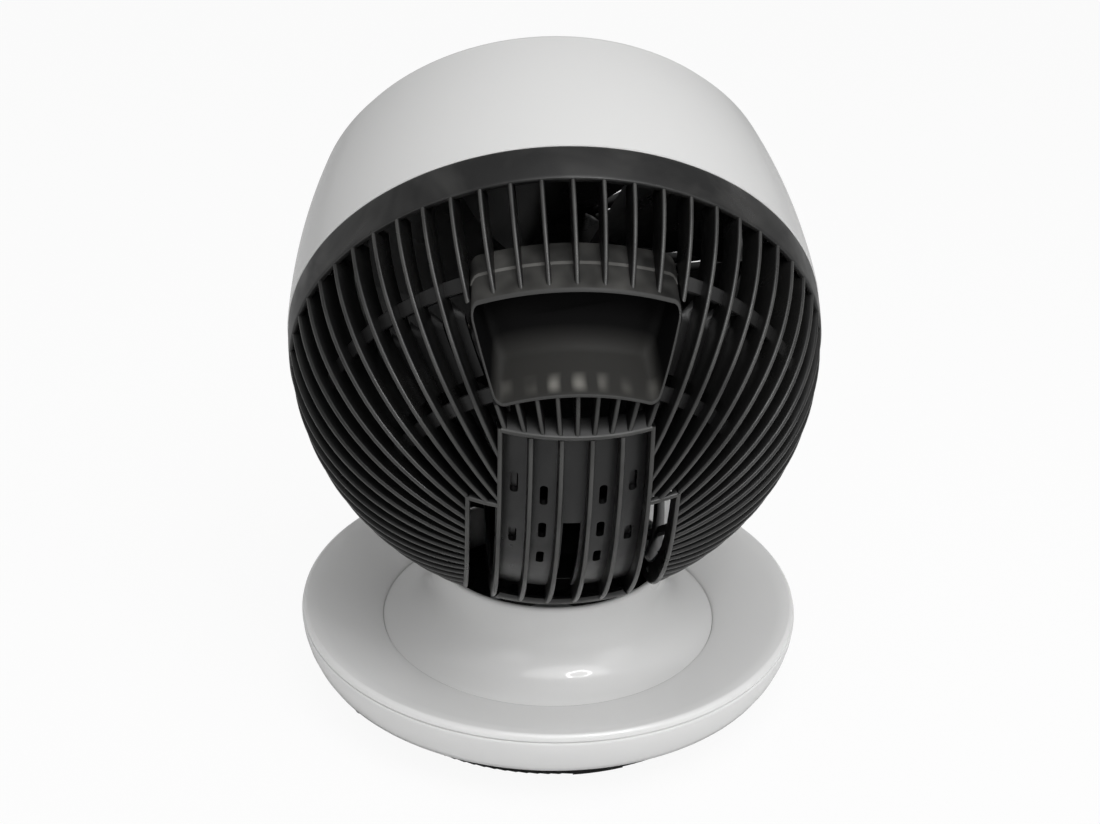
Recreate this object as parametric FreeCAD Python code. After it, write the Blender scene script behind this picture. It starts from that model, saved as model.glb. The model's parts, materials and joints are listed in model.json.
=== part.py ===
import FreeCAD, Part
import math
import os

# Air circulator fan: a ball-shaped head on a yoke, turning on a round base.
# Millimetres, +Z up, front towards -Y, origin on the ground under the swivel axis.
# Head parts are drawn in the head's own frame (X across, Y up, Z forwards along the
# blade axis, origin at the pivot) and seated at the rest tilt by seat_head().

V = FreeCAD.Vector
AXIS_X = V(1, 0, 0)
AXIS_Z = V(0, 0, 1)

# ---------------------------------------------------------------- driving dimensions
# Head
ball_r = 125.0            # rear half of the head
housing_depth = 85.0      # pivot to the front housing's edge
housing_front_r = ball_r * 0.9   # radius at that edge
housing_wall = 2.4
lip_depth = 4.4           # rolled lip ahead of the edge
mouth_r = housing_front_r - 9.0  # opening that the front grille sits in
tilt_rest = 27.0          # head looks up by this much at rest
tilt_travel = 90.0        # level to straight up
base_to_ball = 54.3       # ground to the ball's lowest point
pivot_z = ball_r + base_to_ball  # height of the tilt axis

# Rear grille
rim_width = 17.3          # plain band ahead of the bars, along the axis
rim_wall = 2.6
rim_overlap = 4.0         # bars run on under the band by this much
bar_count = 60
bar_thick = 2.2
bar_depth = 10.0
bar_inset = 0.3           # bars lie this far inside the ball that band and frames follow
frame_inset = 0.6         # frames reach this much deeper than the bars
hoop_wall = 2.2
hoop_sink = 5.4           # hoops lie this far below the ball
hoop_outer_r = ball_r * 0.852
hoop_inner_r = ball_r * 0.634
hoop_width = 7.0

# Finger pocket in the rear grille
pocket_outer_r = hoop_outer_r + 1.8
pocket_inner_r = hoop_inner_r + 2.4
pocket_half_angle = 23.2
pocket_depth = 23.0
pocket_wall = 2.0
pocket_lip = 2.0          # how far its frame stands proud of the ball
pocket_corner = 6.0

# Rear panel with its ribs, and the openings for the yoke beside it
panel_half = 30.0
panel_top = 64.0
panel_bottom = -50.0
panel_recess = 8.0
panel_wall = 2.5
rib_pitch = 12.45
rib_thick = 2.2
vent_width = 3.4
vent_height = 9.8
vent_rows = ((1, (27.9, 7.6, -13.3)), (2, (33.0, 2.5)))  # rib gap, lower ends of its vents
lead_slot_half = 3.8
lead_slot_top = 17.7
window_outer = 43.0
window_top = 31.0
skirt_angle = 60.0        # the band under the panel starts here, from straight down
sill_depth = 5.0          # rib along the band's upper edge

# Yoke
arm_inner = 33.5
arm_thick = 7.0
arm_foot_half = 14.0
arm_top_half = 10.5
arm_boss_r = 13.0
bush_wall = 2.0
pin_r = 5.0
run_gap = 0.05            # radial play of a running fit
seat_gap = 0.2            # between pieces that are seated in one another
arm_flange = 15.0
arm_flange_thick = 4.0

# Fan drive
drive_half = 26.0
drive_wall = 2.4
drive_front = 9.0
drive_front_half = 30.0
motor_r = 28.0
motor_can = 17.0
shaft_r = 4.0
bearing_r = 11.0
bearing_width = 7.0
stator_r = motor_r - 2.0
stator_bore_r = 15.4
stator_length = 18.0
rotor_r = 15.0
rotor_length = 15.0

# Impeller and duct
hub_wall = 2.8
motor_clear = 3.2         # motor case to the inside of the hub
hub_r = motor_r + motor_clear + hub_wall
hub_rear = 29.0
hub_front = 58.0
blade_count = 7
blade_tip_r = mouth_r - 10.5
blade_rear = 22.0
blade_front = 57.0
blade_thick = 2.6
root_chord = 30.0
root_pitch = 52.0
middle_chord = blade_tip_r * 0.624
middle_pitch = 38.0
tip_chord = blade_tip_r * 0.88
tip_pitch = 25.0
blade_lead = 14.0         # tips lead the roots by this much
duct_r = blade_tip_r + 4.0
duct_wall = 2.2
duct_rear = 18.5
duct_flare_r = duct_r + 10.0

# Front grille
grille_rear = 76.5
grille_thick = 5.0
grille_ring_wall = 3.4
grille_hub_r = 25.0
grille_ring_r = mouth_r / 2
vane_pairs = 24
vane_thick = 2.0
vane_sweep = 34.0
cap_r = 22.0
cap_thick = 3.2
cap_dome_r = 150.0

# Base
base_r = 125.2
base_foot_r = base_r - 7.6
base_foot_z = 17.0
groove_z = 38.0
groove_depth = 0.6
shoulder_r = base_r - 2.6
shoulder_z = 41.0
pedestal_r = base_r - 40.9
dish_edge_r = pedestal_r + 3.7
dish_edge_z = 30.2
cover_wall = 2.6
well_gap = 0.5            # ring gap between the dish and the turning pedestal
deck_z = 19.0
tray_r = base_foot_r - 15.6
tray_wall = 2.5
tray_edge = 1.4           # rounding of the tray's lower edge
foot_lift = 1.5
foot_count = 5
foot_turn = -10.0
foot_half_angle = 7.0
foot_out_r = tray_r - 2.0
foot_in_r = foot_out_r - 10.0
foot_recess = 1.0
screw_r = 1.6
screw_head_r = 3.4
screw_head = 2.2
base_screw_ring = tray_r - 7.0
boss_r = 5.0
ballast_out_r = tray_r - 22.0
ballast_in_r = 26.0
ballast_thick = 3.5

# Pedestal and swivel
pedestal_z = 27.0
collar_z = base_to_ball + 11.7
pedestal_wall = 2.4
ball_gap = 1.6            # collar to ball
turntable_z = 22.0
turntable_thick = 2.6
spigot_r = 16.0
bush_swivel_wall = 3.0
ring_gear_thick = 2.4

# Gears
swing_module = 1.5
swing_ring_teeth = 36
swing_pinion_teeth = 10
tilt_module = 1.2
tilt_ring_teeth = 40
tilt_pinion_teeth = 10
tilt_gear_thick = 2.8
swing_motor_r = 21.0
swing_motor_height = 15.0
swing_motor_clear = 2.1   # swing motor to the inside of the pedestal's neck
swing_offset = swing_module * (swing_ring_teeth + swing_pinion_teeth) / 2.0
neck_r = swing_offset + swing_motor_r + swing_motor_clear + pedestal_wall
tilt_motor_r = 14.0
tilt_motor_length = 18.0
gear_shaft_r = 2.5

# Controls on the front of the base
panel_in_r = dish_edge_r + 5.0
panel_out_r = shoulder_r - 6.6
panel_half_angle = 25.0
panel_gap = 0.15
button_names = ("button_power", "button_speed", "button_swing", "button_tilt", "button_timer")
button_r = 4.8
button_ring = (panel_in_r + panel_out_r) / 2
button_step = 9.5
button_gap = 0.4
button_proud = 0.9
button_travel = 0.8
board_thick = 1.6
switch_side = 6.0

# Lead gland in the tray's wall, at the rear
gland_turn = 62.0
gland_r = 6.0
gland_bore_r = 3.2
gland_length = 14.0
gland_z = 9.5


# ---------------------------------------------------------------- helpers
def outline(start, *steps):
    """Closed face in the XZ plane. A step is (x, z), or (mid, end) for an arc."""
    def place(point):
        return V(point[0], 0, point[1])
    edges = []
    here = start
    for step in steps + (start,):
        if isinstance(step[0], tuple):
            edges.append(Part.Arc(place(here), place(step[0]), place(step[1])).toShape())
            here = step[1]
        elif step != here:
            edges.append(Part.LineSegment(place(here), place(step)).toShape())
            here = step
    return Part.Face(Part.Wire(edges))


def turned(start, *steps):
    return outline(start, *steps).revolve(V(0, 0, 0), AXIS_Z, 360)


def cylinder(radius, low, high, x=0.0, y=0.0):
    return Part.makeCylinder(radius, high - low, V(x, y, low), AXIS_Z)


def tube(outer, inner, low, high, x=0.0, y=0.0):
    margin = 1.0
    return cylinder(outer, low, high, x, y).cut(cylinder(inner, low - margin, high + margin, x, y))


def rod(radius, x0, x1, y=0.0, z=0.0):
    """Cylinder along X between x0 and x1."""
    return Part.makeCylinder(radius, x1 - x0, V(x0, y, z), AXIS_X)


def box(x0, x1, y0, y1, z0, z1):
    return Part.makeBox(x1 - x0, y1 - y0, z1 - z0, V(x0, y0, z0))


def ball(radius, z=0.0):
    return Part.makeSphere(radius, V(0, 0, z), AXIS_X)


def shell_between(outer, inner):
    return ball(outer).cut(ball(inner))


def prism(points, low, high):
    """Polygon in XY between two heights."""
    ring = [V(x, y, low) for x, y in points]
    return Part.Face(Part.makePolygon(ring + ring[:1])).extrude(V(0, 0, high - low))


def polar(radius, degrees):
    """Point at an angle measured from +Y towards +X."""
    angle = math.radians(degrees)
    return (radius * math.sin(angle), radius * math.cos(angle))


def ring_sector(outer, inner, middle, half, low, high):
    """Part of a ring about Z, centred on an angle from +Y."""
    wedge = Part.makeCylinder(outer, high - low, V(0, 0, low), AXIS_Z, 2 * half)
    wedge = wedge.cut(cylinder(inner, low - 1, high + 1))
    wedge.rotate(V(0, 0, 0), AXIS_Z, 90 - middle - half)
    return wedge


def rounded(solid, radius):
    """Fillet the straight edges that run along Z."""
    chosen = []
    for edge in solid.Edges:
        if isinstance(edge.Curve, Part.Line) and abs(edge.Curve.Direction.dot(AXIS_Z)) > 0.999:
            chosen.append(edge)
    return solid.makeFillet(radius, chosen)


def copies(solid, count, first=0.0):
    """The solid repeated evenly about Z."""
    made = []
    for index in range(count):
        made.append(solid.copy())
        made[-1].rotate(V(0, 0, 0), AXIS_Z, first + index * 360.0 / count)
    return made


def fused(solids):
    return solids[0].multiFuse(solids[1:]).removeSplitter()


def gear_outline(module, teeth, phase=0.0):
    """Slim straight-sided teeth, with play for a free mesh; phase in tooth pitches."""
    pitch_r = module * teeth / 2.0
    rows = ((pitch_r - 1.15 * module, 0.30), (pitch_r + 0.85 * module, 0.11))
    points = []
    for tooth in range(teeth):
        for radius, half in (rows[0], rows[1]):
            points.append(polar(radius, (tooth + phase - half) * 360.0 / teeth))
        for radius, half in (rows[1], rows[0]):
            points.append(polar(radius, (tooth + phase + half) * 360.0 / teeth))
    return points


def seat_head(shape):
    """From the head's frame to the row frame at the rest tilt."""
    shape.rotate(V(0, 0, 0), AXIS_X, 90 - tilt_rest)
    shape.translate(V(0, 0, pivot_z))
    return shape


def sphere_drop(radius, across):
    return math.sqrt(radius ** 2 - across ** 2)


parts = {}


def slab(points, half):
    """Polygon of (z, y) points in the head's upright plane, extruded both ways along X."""
    ring = [V(-half, y, z) for z, y in points]
    return Part.Face(Part.makePolygon(ring + ring[:1])).extrude(V(2 * half, 0, 0))


def both_sides(solid):
    return [solid, solid.mirror(V(0, 0, 0), AXIS_X)]


# ---------------------------------------------------------------- head: casing
housing_rear_r = ball_r + 0.4
housing_mid_r = housing_front_r + 0.725 * (housing_rear_r - housing_front_r)
lip_front = housing_depth + lip_depth
frame_outer = panel_half + rib_thick
boss_ring = housing_rear_r - housing_wall - 4.9
boss_angles = (45, 135, 225, 315)
boss_outer_r = 5.2
lug_r = 4.9
boss_rear = 6.0
boss_front = 22.0
lug_rear = -6.0
seat_front = grille_rear - 0.5


def yoke_slots(rear, front):
    """Space that the arms pass through in the bottom of the casing."""
    return both_sides(box(frame_outer, window_outer, -ball_r - 10, 0, rear, front))


def front_housing():
    rear_in = housing_rear_r - housing_wall
    mid_in = housing_mid_r - housing_wall
    front_in = housing_front_r - housing_wall
    half = housing_depth / 2
    skin = turned(
        (housing_rear_r, 0),
        ((housing_mid_r, half), (housing_front_r, housing_depth)),
        ((housing_front_r - 1.2, lip_front - 1.3), (housing_front_r - 4, lip_front)),
        (mouth_r, housing_depth + 0.5),
        (mouth_r, seat_front),
        (mouth_r + housing_wall, seat_front),
        (mouth_r + housing_wall, housing_depth - 1.6),
        (front_in - 0.6, housing_depth - 0.4),
        ((mid_in, half), (rear_in, 0)))
    bosses = []
    holes = []
    for angle in boss_angles:
        x, y = polar(boss_ring, angle)
        bosses.append(cylinder(boss_outer_r, boss_rear, boss_front, x, y))
        holes.append(cylinder(screw_r, boss_rear - 1, boss_front - 3, x, y))
    body = skin.fuse(bosses)
    return body.cut(holes + yoke_slots(-1, arm_foot_half + 3))


def air_duct():
    """Straight duct round the blades, belled at the rear and flanged in front."""
    outer_r = duct_r + duct_wall
    bell_top = duct_rear + 12
    seat_r = mouth_r + housing_wall
    return turned(
        (duct_r, bell_top),
        ((duct_r + 2.6, duct_rear + 3.4), (duct_flare_r, duct_rear)),
        (duct_flare_r, duct_rear + duct_wall),
        ((outer_r + 2.2, duct_rear + 5.2), (outer_r, bell_top)),
        (outer_r, seat_front - duct_wall),
        (seat_r, seat_front - duct_wall),
        (seat_r, seat_front),
        (duct_r, seat_front))


def head_screws():
    made = []
    for angle in boss_angles:
        x, y = polar(boss_ring, angle)
        shank = cylinder(screw_r - run_gap, lug_rear, boss_front - 4, x, y)
        made.append(shank.fuse(cylinder(screw_head_r, lug_rear - screw_head, lug_rear, x, y)))
    return Part.makeCompound(made)


# ---------------------------------------------------------------- head: rear grille
bar_inner_r = ball_r - bar_depth
rim_edge_r = sphere_drop(ball_r, rim_width)
bar_root_r = sphere_drop(ball_r, rim_width - rim_overlap)
bar_step = 360.0 / bar_count
skirt_back = ball_r * math.sin(math.radians(skirt_angle))


def meridian_bar(outer_rho, inner_rho):
    """Bar along the ball in the YZ plane, between two distances from the axis."""
    def on_ball(radius, rho):
        return (rho * radius / ball_r, -sphere_drop(radius, rho * radius / ball_r))
    mean = (math.asin(outer_rho / ball_r) + math.asin(inner_rho / ball_r)) / 2
    mid_rho = ball_r * math.sin(mean)
    crown_r = ball_r - bar_inset
    face = outline(
        on_ball(crown_r, outer_rho),
        (on_ball(crown_r, mid_rho), on_ball(crown_r, inner_rho)),
        on_ball(bar_inner_r, inner_rho),
        (on_ball(bar_inner_r, mid_rho), on_ball(bar_inner_r, outer_rho)))
    bar = face.extrude(V(0, bar_thick, 0))
    bar.translate(V(0, -bar_thick / 2, 0))
    bar.rotate(V(0, 0, 0), AXIS_Z, 90)
    return bar


def bar_inner_end(angle):
    """Distance from the axis at which the bar at this angle from the top ends."""
    side = abs(math.sin(math.radians(angle)))
    up = math.cos(math.radians(angle))
    frame = panel_half + rib_thick / 2
    if side < 1e-6 or frame / side * up > panel_top:
        return (panel_top + rib_thick / 2) / up
    if frame / side * up > window_top:
        return frame / side
    return (window_outer + rib_thick / 2) / side


def grille_bars():
    """Every bar that doesn't fall within the panel and the windows at the bottom."""
    made = []
    for index in range(bar_count):
        angle = index * bar_step
        end = bar_inner_end(angle)
        below_windows = math.cos(math.radians(angle)) < 0 and end > rim_edge_r - bar_depth
        if not below_windows:
            bar = meridian_bar(bar_root_r, end)
            bar.rotate(V(0, 0, 0), AXIS_Z, -angle)
            made.append(bar)
    return Part.makeCompound(made)


def open_zones():
    """Where no bar or hoop runs: the panel, the yoke windows beside it and the pocket."""
    deep = -ball_r
    into = rib_thick / 2
    panel_x = panel_half + into
    window_x = window_outer + into
    return [
        box(-panel_x, panel_x, deep, panel_top + into, deep, -rim_width),
        box(-window_x, window_x, deep, window_top + into, deep, -rim_width),
        pocket_block(seat_gap)]


def grille_frames():
    """Frames of the panel and of the two yoke windows, all on the ball."""
    deep = -ball_r
    panel_x = panel_half + rib_thick
    window_x = window_outer + rib_thick
    panel_y = panel_top + rib_thick
    window_y = window_top + rib_thick
    blocks = [box(-panel_x, panel_x, panel_top, panel_y, deep, -rim_width)]
    blocks += both_sides(box(panel_half, panel_x, deep, panel_y, deep, -rim_width))
    blocks += both_sides(box(window_outer, window_x, deep, window_y, deep, -rim_width))
    blocks += both_sides(box(panel_half, window_x, window_top, window_y, deep, -rim_width))
    frame = fused(blocks).common(shell_between(ball_r, bar_inner_r - frame_inset))
    sill = box(-panel_half, panel_half, deep, 0, -skirt_back, -skirt_back + rib_thick)
    return [frame, sill.common(shell_between(ball_r, ball_r - sill_depth))]


def hoop(radius):
    """Band across the bars, lying along the ball below their crests."""
    half = hoop_width / 2 * sphere_drop(bar_inner_r, radius) / bar_inner_r
    zone = shell_between(ball_r - hoop_sink, ball_r - hoop_sink - hoop_wall)
    return zone.common(tube(radius + half, radius - half, -ball_r, -rim_width))


def pocket_block(gap=0.0):
    """Outside of the finger pocket; its back follows the ball, moved in by the depth."""
    spread = math.degrees((pocket_wall + gap) / pocket_inner_r)
    outer = pocket_outer_r + pocket_wall + gap
    inner = pocket_inner_r - pocket_wall - gap
    sector = ring_sector(outer, inner, 0, pocket_half_angle + spread, -ball_r - 5, 0)
    back = ball(ball_r, pocket_depth + pocket_wall + gap)
    return rounded(sector, pocket_corner + pocket_wall).cut(back)


def rear_grille():
    middle_z = -rim_width / 2
    within_r = ball_r - rim_wall
    spigot_r = housing_rear_r - housing_wall - 0.4
    rim = turned(
        (ball_r, 0),
        ((sphere_drop(ball_r, middle_z), middle_z), (rim_edge_r, -rim_width)),
        (sphere_drop(within_r, rim_width), -rim_width),
        ((sphere_drop(within_r, middle_z), middle_z), (sphere_drop(within_r, 2), -2)),
        (spigot_r - 2.2, -2),
        (spigot_r - 2.2, 4.5),
        (spigot_r, 4.5),
        (spigot_r, 0))
    lugs = []
    holes = []
    for angle in boss_angles:
        x, y = polar(boss_ring, angle)
        lug = cylinder(lug_r, lug_rear, boss_rear, x, y)
        lugs.append(lug.common(cylinder(spigot_r, lug_rear, boss_rear)))
        holes.append(cylinder(screw_r, lug_rear - 1, boss_rear + 1, x, y))
    hoops = hoop(hoop_outer_r).fuse(hoop(hoop_inner_r)).cut(open_zones())
    bars = grille_bars().cut(open_zones())
    skirt = shell_between(ball_r, ball_r - rim_wall)
    skirt = skirt.common(box(-frame_outer, frame_outer, -ball_r, 0, -skirt_back, -rim_width))
    body = rim.fuse(grille_frames() + [bars, hoops, skirt] + lugs)
    return body.cut(holes + yoke_slots(-rim_width - 1, 6))


def handle_pocket():
    """Finger cup behind the top of the rear grille, with a rounded frame round its mouth."""
    cavity = ring_sector(pocket_outer_r, pocket_inner_r, 0, pocket_half_angle, -ball_r - 5, 0)
    cavity = rounded(cavity, pocket_corner).cut(ball(ball_r, pocket_depth))
    skin = pocket_block().common(ball(ball_r + pocket_lip))
    return skin.cut(cavity)


def rear_panel():
    """Recessed vented plate with upright ribs flush with the ball."""
    plate_r = ball_r - panel_recess
    half = panel_half - seat_gap
    top = panel_top - seat_gap
    plate = shell_between(plate_r, plate_r - panel_wall)
    plate = plate.common(box(-half, half, panel_bottom, top, -ball_r, 0))
    ribs = []
    for column in (-1.5, -0.5, 0.5, 1.5):
        x = column * rib_pitch
        blank = box(x - rib_thick / 2, x + rib_thick / 2, -ball_r, top, -ball_r, -skirt_back - seat_gap)
        ribs.append(blank.common(shell_between(ball_r, plate_r - 0.5)))
    cuts = [box(-lead_slot_half, lead_slot_half, -ball_r, lead_slot_top, -ball_r, 0)]
    for column, lows in vent_rows:
        for low in lows:
            x = column * rib_pitch
            vent = box(x - vent_width / 2, x + vent_width / 2, low, low + vent_height, -ball_r, 0)
            cuts += both_sides(rounded(vent, 1.2))
    return plate.fuse(ribs).cut(cuts)


# ---------------------------------------------------------------- head: drive
def drive_outline(inset, rear):
    """Side view of the drive box: narrow at the motor, as tall as the panel at the rear."""
    front = drive_front - inset
    neck = drive_front_half + 3
    top = panel_top - 5
    bottom = panel_bottom + 3
    upper = ((front, drive_front_half), (-24, neck), (-62, 50), (-92, top), (rear, top))
    lower = ((rear, bottom), (-92, bottom), (-62, -40), (-24, -neck), (front, -drive_front_half))
    points = [(z, y - inset) for z, y in upper]
    return points + [(z, y + inset) for z, y in lower]


motor_offset = tilt_module * (tilt_ring_teeth + tilt_pinion_teeth) / 2
pivot_boss_in = drive_half - 6
pivot_boss_out = drive_half + 2.5
shaft_hole_r = gear_shaft_r + 0.8


def drive_housing():
    rear = -ball_r
    shell = slab(drive_outline(0, rear), drive_half)
    shell = shell.common(ball(ball_r - panel_recess - panel_wall - seat_gap))
    shell = shell.cut(slab(drive_outline(drive_wall, rear - 5), drive_half - drive_wall))
    bosses = both_sides(rod(pin_r + 4, pivot_boss_in, pivot_boss_out))
    bores = both_sides(rod(pin_r, pivot_boss_in - 1, pivot_boss_out + 1))
    opening = rod(shaft_hole_r, -drive_half - 1, -drive_half + drive_wall + 1, 0, -motor_offset)
    return shell.fuse(bosses).cut(bores + [opening])


arm_outer = arm_inner + arm_thick
pin_head = 1.6


def pivot_pins():
    shank = rod(pin_r, pivot_boss_in, arm_outer + 0.1)
    head = rod(pin_r + 2.5, arm_outer + 0.1, arm_outer + 0.1 + pin_head)
    return Part.makeCompound(both_sides(shank.fuse(head)))


def tilt_motor():
    inner_face = -drive_half + drive_wall
    body = rod(tilt_motor_r, inner_face, inner_face + tilt_motor_length, 0, -motor_offset)
    bore = rod(gear_shaft_r + run_gap, inner_face - 1, inner_face + 7, 0, -motor_offset)
    return body.cut(bore)


def tilt_pinion():
    """Pinion with its shaft, drawn along Z and laid along X with a gap facing the pivot."""
    phase = 0.75 * tilt_pinion_teeth + 0.5
    start = -arm_inner + 0.4
    thick = tilt_gear_thick - 0.4
    gear = prism(gear_outline(tilt_module, tilt_pinion_teeth, phase), start, start + thick)
    gear = gear.fuse(cylinder(gear_shaft_r, start + thick, -drive_half + drive_wall + 5))
    gear.rotate(V(0, 0, 0), V(0, 1, 0), 90)
    gear.translate(V(0, 0, -motor_offset))
    return gear


can_mid = drive_front + motor_can
can_front = drive_front + 2 * motor_can
can_wall = 1.6


def motor_can_shell(seat_z, mouth_z, hole):
    """Cup-shaped half of the motor case with a bearing seat in its closed end."""
    way = 1 if mouth_z > seat_z else -1
    floor = seat_z + way * can_wall
    seat = floor + way * bearing_width
    return turned(
        (hole, seat_z),
        (motor_r - 2, seat_z),
        ((motor_r - 0.6, seat_z + way * 0.6), (motor_r, seat_z + way * 2)),
        (motor_r, mouth_z),
        (motor_r - can_wall, mouth_z),
        (motor_r - can_wall, floor),
        (bearing_r + can_wall, floor),
        (bearing_r + can_wall, seat),
        (bearing_r, seat),
        (bearing_r, floor),
        (hole, floor))


def motor_rear_can():
    return motor_can_shell(drive_front, can_mid, 0.0)


def motor_front_can():
    return motor_can_shell(can_front, can_mid, shaft_r + 1.2)


def motor_bearings():
    rear = drive_front + can_wall
    front = can_front - can_wall - bearing_width
    inner = shaft_r + run_gap
    return Part.makeCompound([
        tube(bearing_r, inner, rear, rear + bearing_width),
        tube(bearing_r, inner, front, front + bearing_width)])


def stator():
    """Ring of coils round the rotor, with the winding heads at both ends."""
    half = stator_length / 2
    core = tube(motor_r - can_wall, stator_bore_r, can_mid - half + 3, can_mid + half - 3)
    heads = tube(stator_r - 2, stator_bore_r + 2, can_mid - half, can_mid + half)
    return core.fuse(heads)


# ---------------------------------------------------------------- impeller
def motor_shaft():
    return cylinder(shaft_r, drive_front + can_wall + 0.4, hub_front + 8)


def rotor():
    return tube(rotor_r, shaft_r, can_mid - rotor_length / 2, can_mid + rotor_length / 2)


def impeller_nut():
    knob = cylinder(9.0, hub_front, hub_front + 6.5)
    grips = [cylinder(1.4, hub_front - 1, hub_front + 8, *polar(9.4, index * 45)) for index in range(8)]
    return knob.cut(grips).cut(cylinder(shaft_r, hub_front - 1, hub_front + 9))


def blade_section(radius, chord, pitch, camber, lead):
    """Thin cambered section standing across the radius, as a closed wire."""
    angle = math.radians(pitch)
    middle_z = (blade_rear + blade_front) / 2

    def at(along, off):
        x = lead + along * math.cos(angle) - off * math.sin(angle)
        z = middle_z + along * math.sin(angle) + off * math.cos(angle)
        return V(x, radius, z)
    half = chord / 2
    thick = blade_thick / 2
    upper = Part.Arc(at(-half, 0.3), at(0, camber + thick), at(half, 0.3)).toShape()
    lower = Part.Arc(at(half, -0.3), at(0, camber - thick), at(-half, -0.3)).toShape()
    nose = Part.LineSegment(at(half, 0.3), at(half, -0.3)).toShape()
    tail = Part.LineSegment(at(-half, -0.3), at(-half, 0.3)).toShape()
    return Part.Wire([upper, nose, lower, tail])


def impeller():
    root_r = hub_r - hub_wall + 0.4
    cup = turned(
        (hub_r - hub_wall, hub_rear),
        (hub_r, hub_rear),
        (hub_r, hub_front - 7),
        ((hub_r - 1.9, hub_front - 2), (hub_r - 7, hub_front)),
        (shaft_r, hub_front),
        (shaft_r, hub_front - 11),
        (shaft_r + 4, hub_front - 11),
        (shaft_r + 4, hub_front - hub_wall),
        (hub_r - 8, hub_front - hub_wall),
        (hub_r - hub_wall, hub_front - 9))
    middle_r = (root_r + blade_tip_r) / 2
    blade = Part.makeLoft([
        blade_section(root_r, root_chord, root_pitch, 3.0, 0.0),
        blade_section(middle_r, middle_chord, middle_pitch, 6.0, blade_lead * 0.4),
        blade_section(blade_tip_r + 4, tip_chord, tip_pitch, 8.0, blade_lead)], True)
    blade = blade.common(tube(blade_tip_r, root_r, blade_rear - 10, blade_front + 10))
    blade = blade.mirror(V(0, 0, 0), AXIS_X)
    return cup.fuse(copies(blade, blade_count))


# ---------------------------------------------------------------- front grille
def vane(inner_r, outer_r, top):
    """Swept radial vane, from one radius to another."""
    def at(radius):
        share = (radius - grille_hub_r) / (mouth_r - grille_hub_r)
        x, y = polar(radius, vane_sweep * share)
        return V(x, y, grille_rear)
    mid_r = (inner_r + outer_r) / 2
    shift = V(vane_thick, 0, 0)
    points = (at(inner_r), at(mid_r), at(outer_r))
    near = Part.Arc(*points).toShape()
    far = Part.Arc(*[point + shift for point in reversed(points)]).toShape()
    end = Part.LineSegment(points[2], points[2] + shift).toShape()
    start = Part.LineSegment(points[0] + shift, points[0]).toShape()
    return Part.Face(Part.Wire([near, end, far, start])).extrude(V(0, 0, top - grille_rear))


def front_grille():
    top = grille_rear + grille_thick
    rim_r = mouth_r - 0.3
    rim = tube(rim_r, rim_r - grille_ring_wall, grille_rear, top)
    hub = tube(grille_hub_r, grille_hub_r - 3.4, grille_rear, top)
    floor = cylinder(grille_hub_r - 3, grille_rear, grille_rear + 1.6)
    middle_r = (grille_ring_r + rim_r) / 2
    rings = [tube(radius + 1, radius - 1, grille_rear, top - 1) for radius in (grille_ring_r, middle_r)]
    long_vane = vane(grille_hub_r - 1, rim_r - 1, top)
    short_vane = vane(grille_ring_r, rim_r - 1, top)
    vanes = copies(long_vane, vane_pairs) + copies(short_vane, vane_pairs, 180.0 / vane_pairs)
    return rim.fuse([hub, floor] + rings + vanes)


def front_cap():
    """Plain domed cap in the grille's hub."""
    seat = grille_rear + 1.6
    top = grille_rear + grille_thick + cap_thick / 2
    return cylinder(cap_r - 0.6, seat, top).common(ball(cap_dome_r, top - cap_dome_r))


# ---------------------------------------------------------------- base
dish_slope = (shoulder_z - dish_edge_z) / (shoulder_r - dish_edge_r)
well_r = pedestal_r + well_gap
swivel_bore_r = spigot_r + run_gap + bush_swivel_wall
tray_top_r = tray_r + tray_wall
foot_angles = [foot_turn + index * 360.0 / foot_count for index in range(foot_count)]
between_feet = [angle + 180.0 / foot_count for angle in foot_angles]
base_screw_angles = [angle for angle in between_feet if abs(angle - 180) > 20]
base_screw_top = 25.0
boss_foot_z = 14.0


def dish_height(radius):
    return dish_edge_z + (radius - dish_edge_r) * dish_slope


def cover_skin():
    """Moulded cover: side wall, grooved shoulder, sloping dish and the deck of the well."""
    wall = cover_wall
    deck_low = deck_z - wall
    return turned(
        (base_foot_r, base_foot_z),
        ((base_r - 2.2, base_foot_z + 9), (base_r, groove_z - 0.7)),
        (base_r - groove_depth, groove_z),
        ((base_r - 1.1, shoulder_z - 1), (shoulder_r, shoulder_z)),
        (dish_edge_r, dish_edge_z),
        ((well_r + 0.9, dish_edge_z - 1), (well_r, pedestal_z + 0.4)),
        (well_r, deck_z),
        (swivel_bore_r, deck_z),
        (swivel_bore_r, deck_low),
        (well_r + wall, deck_low),
        (well_r + wall, pedestal_z - 0.6),
        (dish_edge_r + 1, dish_edge_z - wall),
        (shoulder_r - 1.4, shoulder_z - wall),
        (base_r - wall, groove_z - 1.6),
        ((base_r - 2.2 - wall, base_foot_z + 9), (base_foot_r - wall, base_foot_z)))


def panel_zone(gap, low, high):
    half = panel_half_angle + math.degrees(gap / panel_in_r)
    return ring_sector(panel_out_r + gap, panel_in_r - gap, 180, half, low, high)


def base_cover():
    bosses = []
    holes = [panel_zone(panel_gap, dish_edge_z - cover_wall, shoulder_z + 1)]
    for angle in base_screw_angles:
        x, y = polar(base_screw_ring, angle)
        bosses.append(cylinder(boss_r, boss_foot_z, dish_height(base_screw_ring - boss_r) - 1, x, y))
        holes.append(cylinder(screw_r, boss_foot_z - 1, base_screw_top, x, y))
    return cover_skin().fuse(bosses).cut(holes)


def button_angles():
    middle = (len(button_names) - 1) / 2.0
    return [180 + (index - middle) * button_step for index in range(len(button_names))]


board_low = base_foot_z + 2.2
board_high = board_low + board_thick
switch_top = board_high + 4.0
button_low = switch_top + button_travel + 0.12


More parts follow.
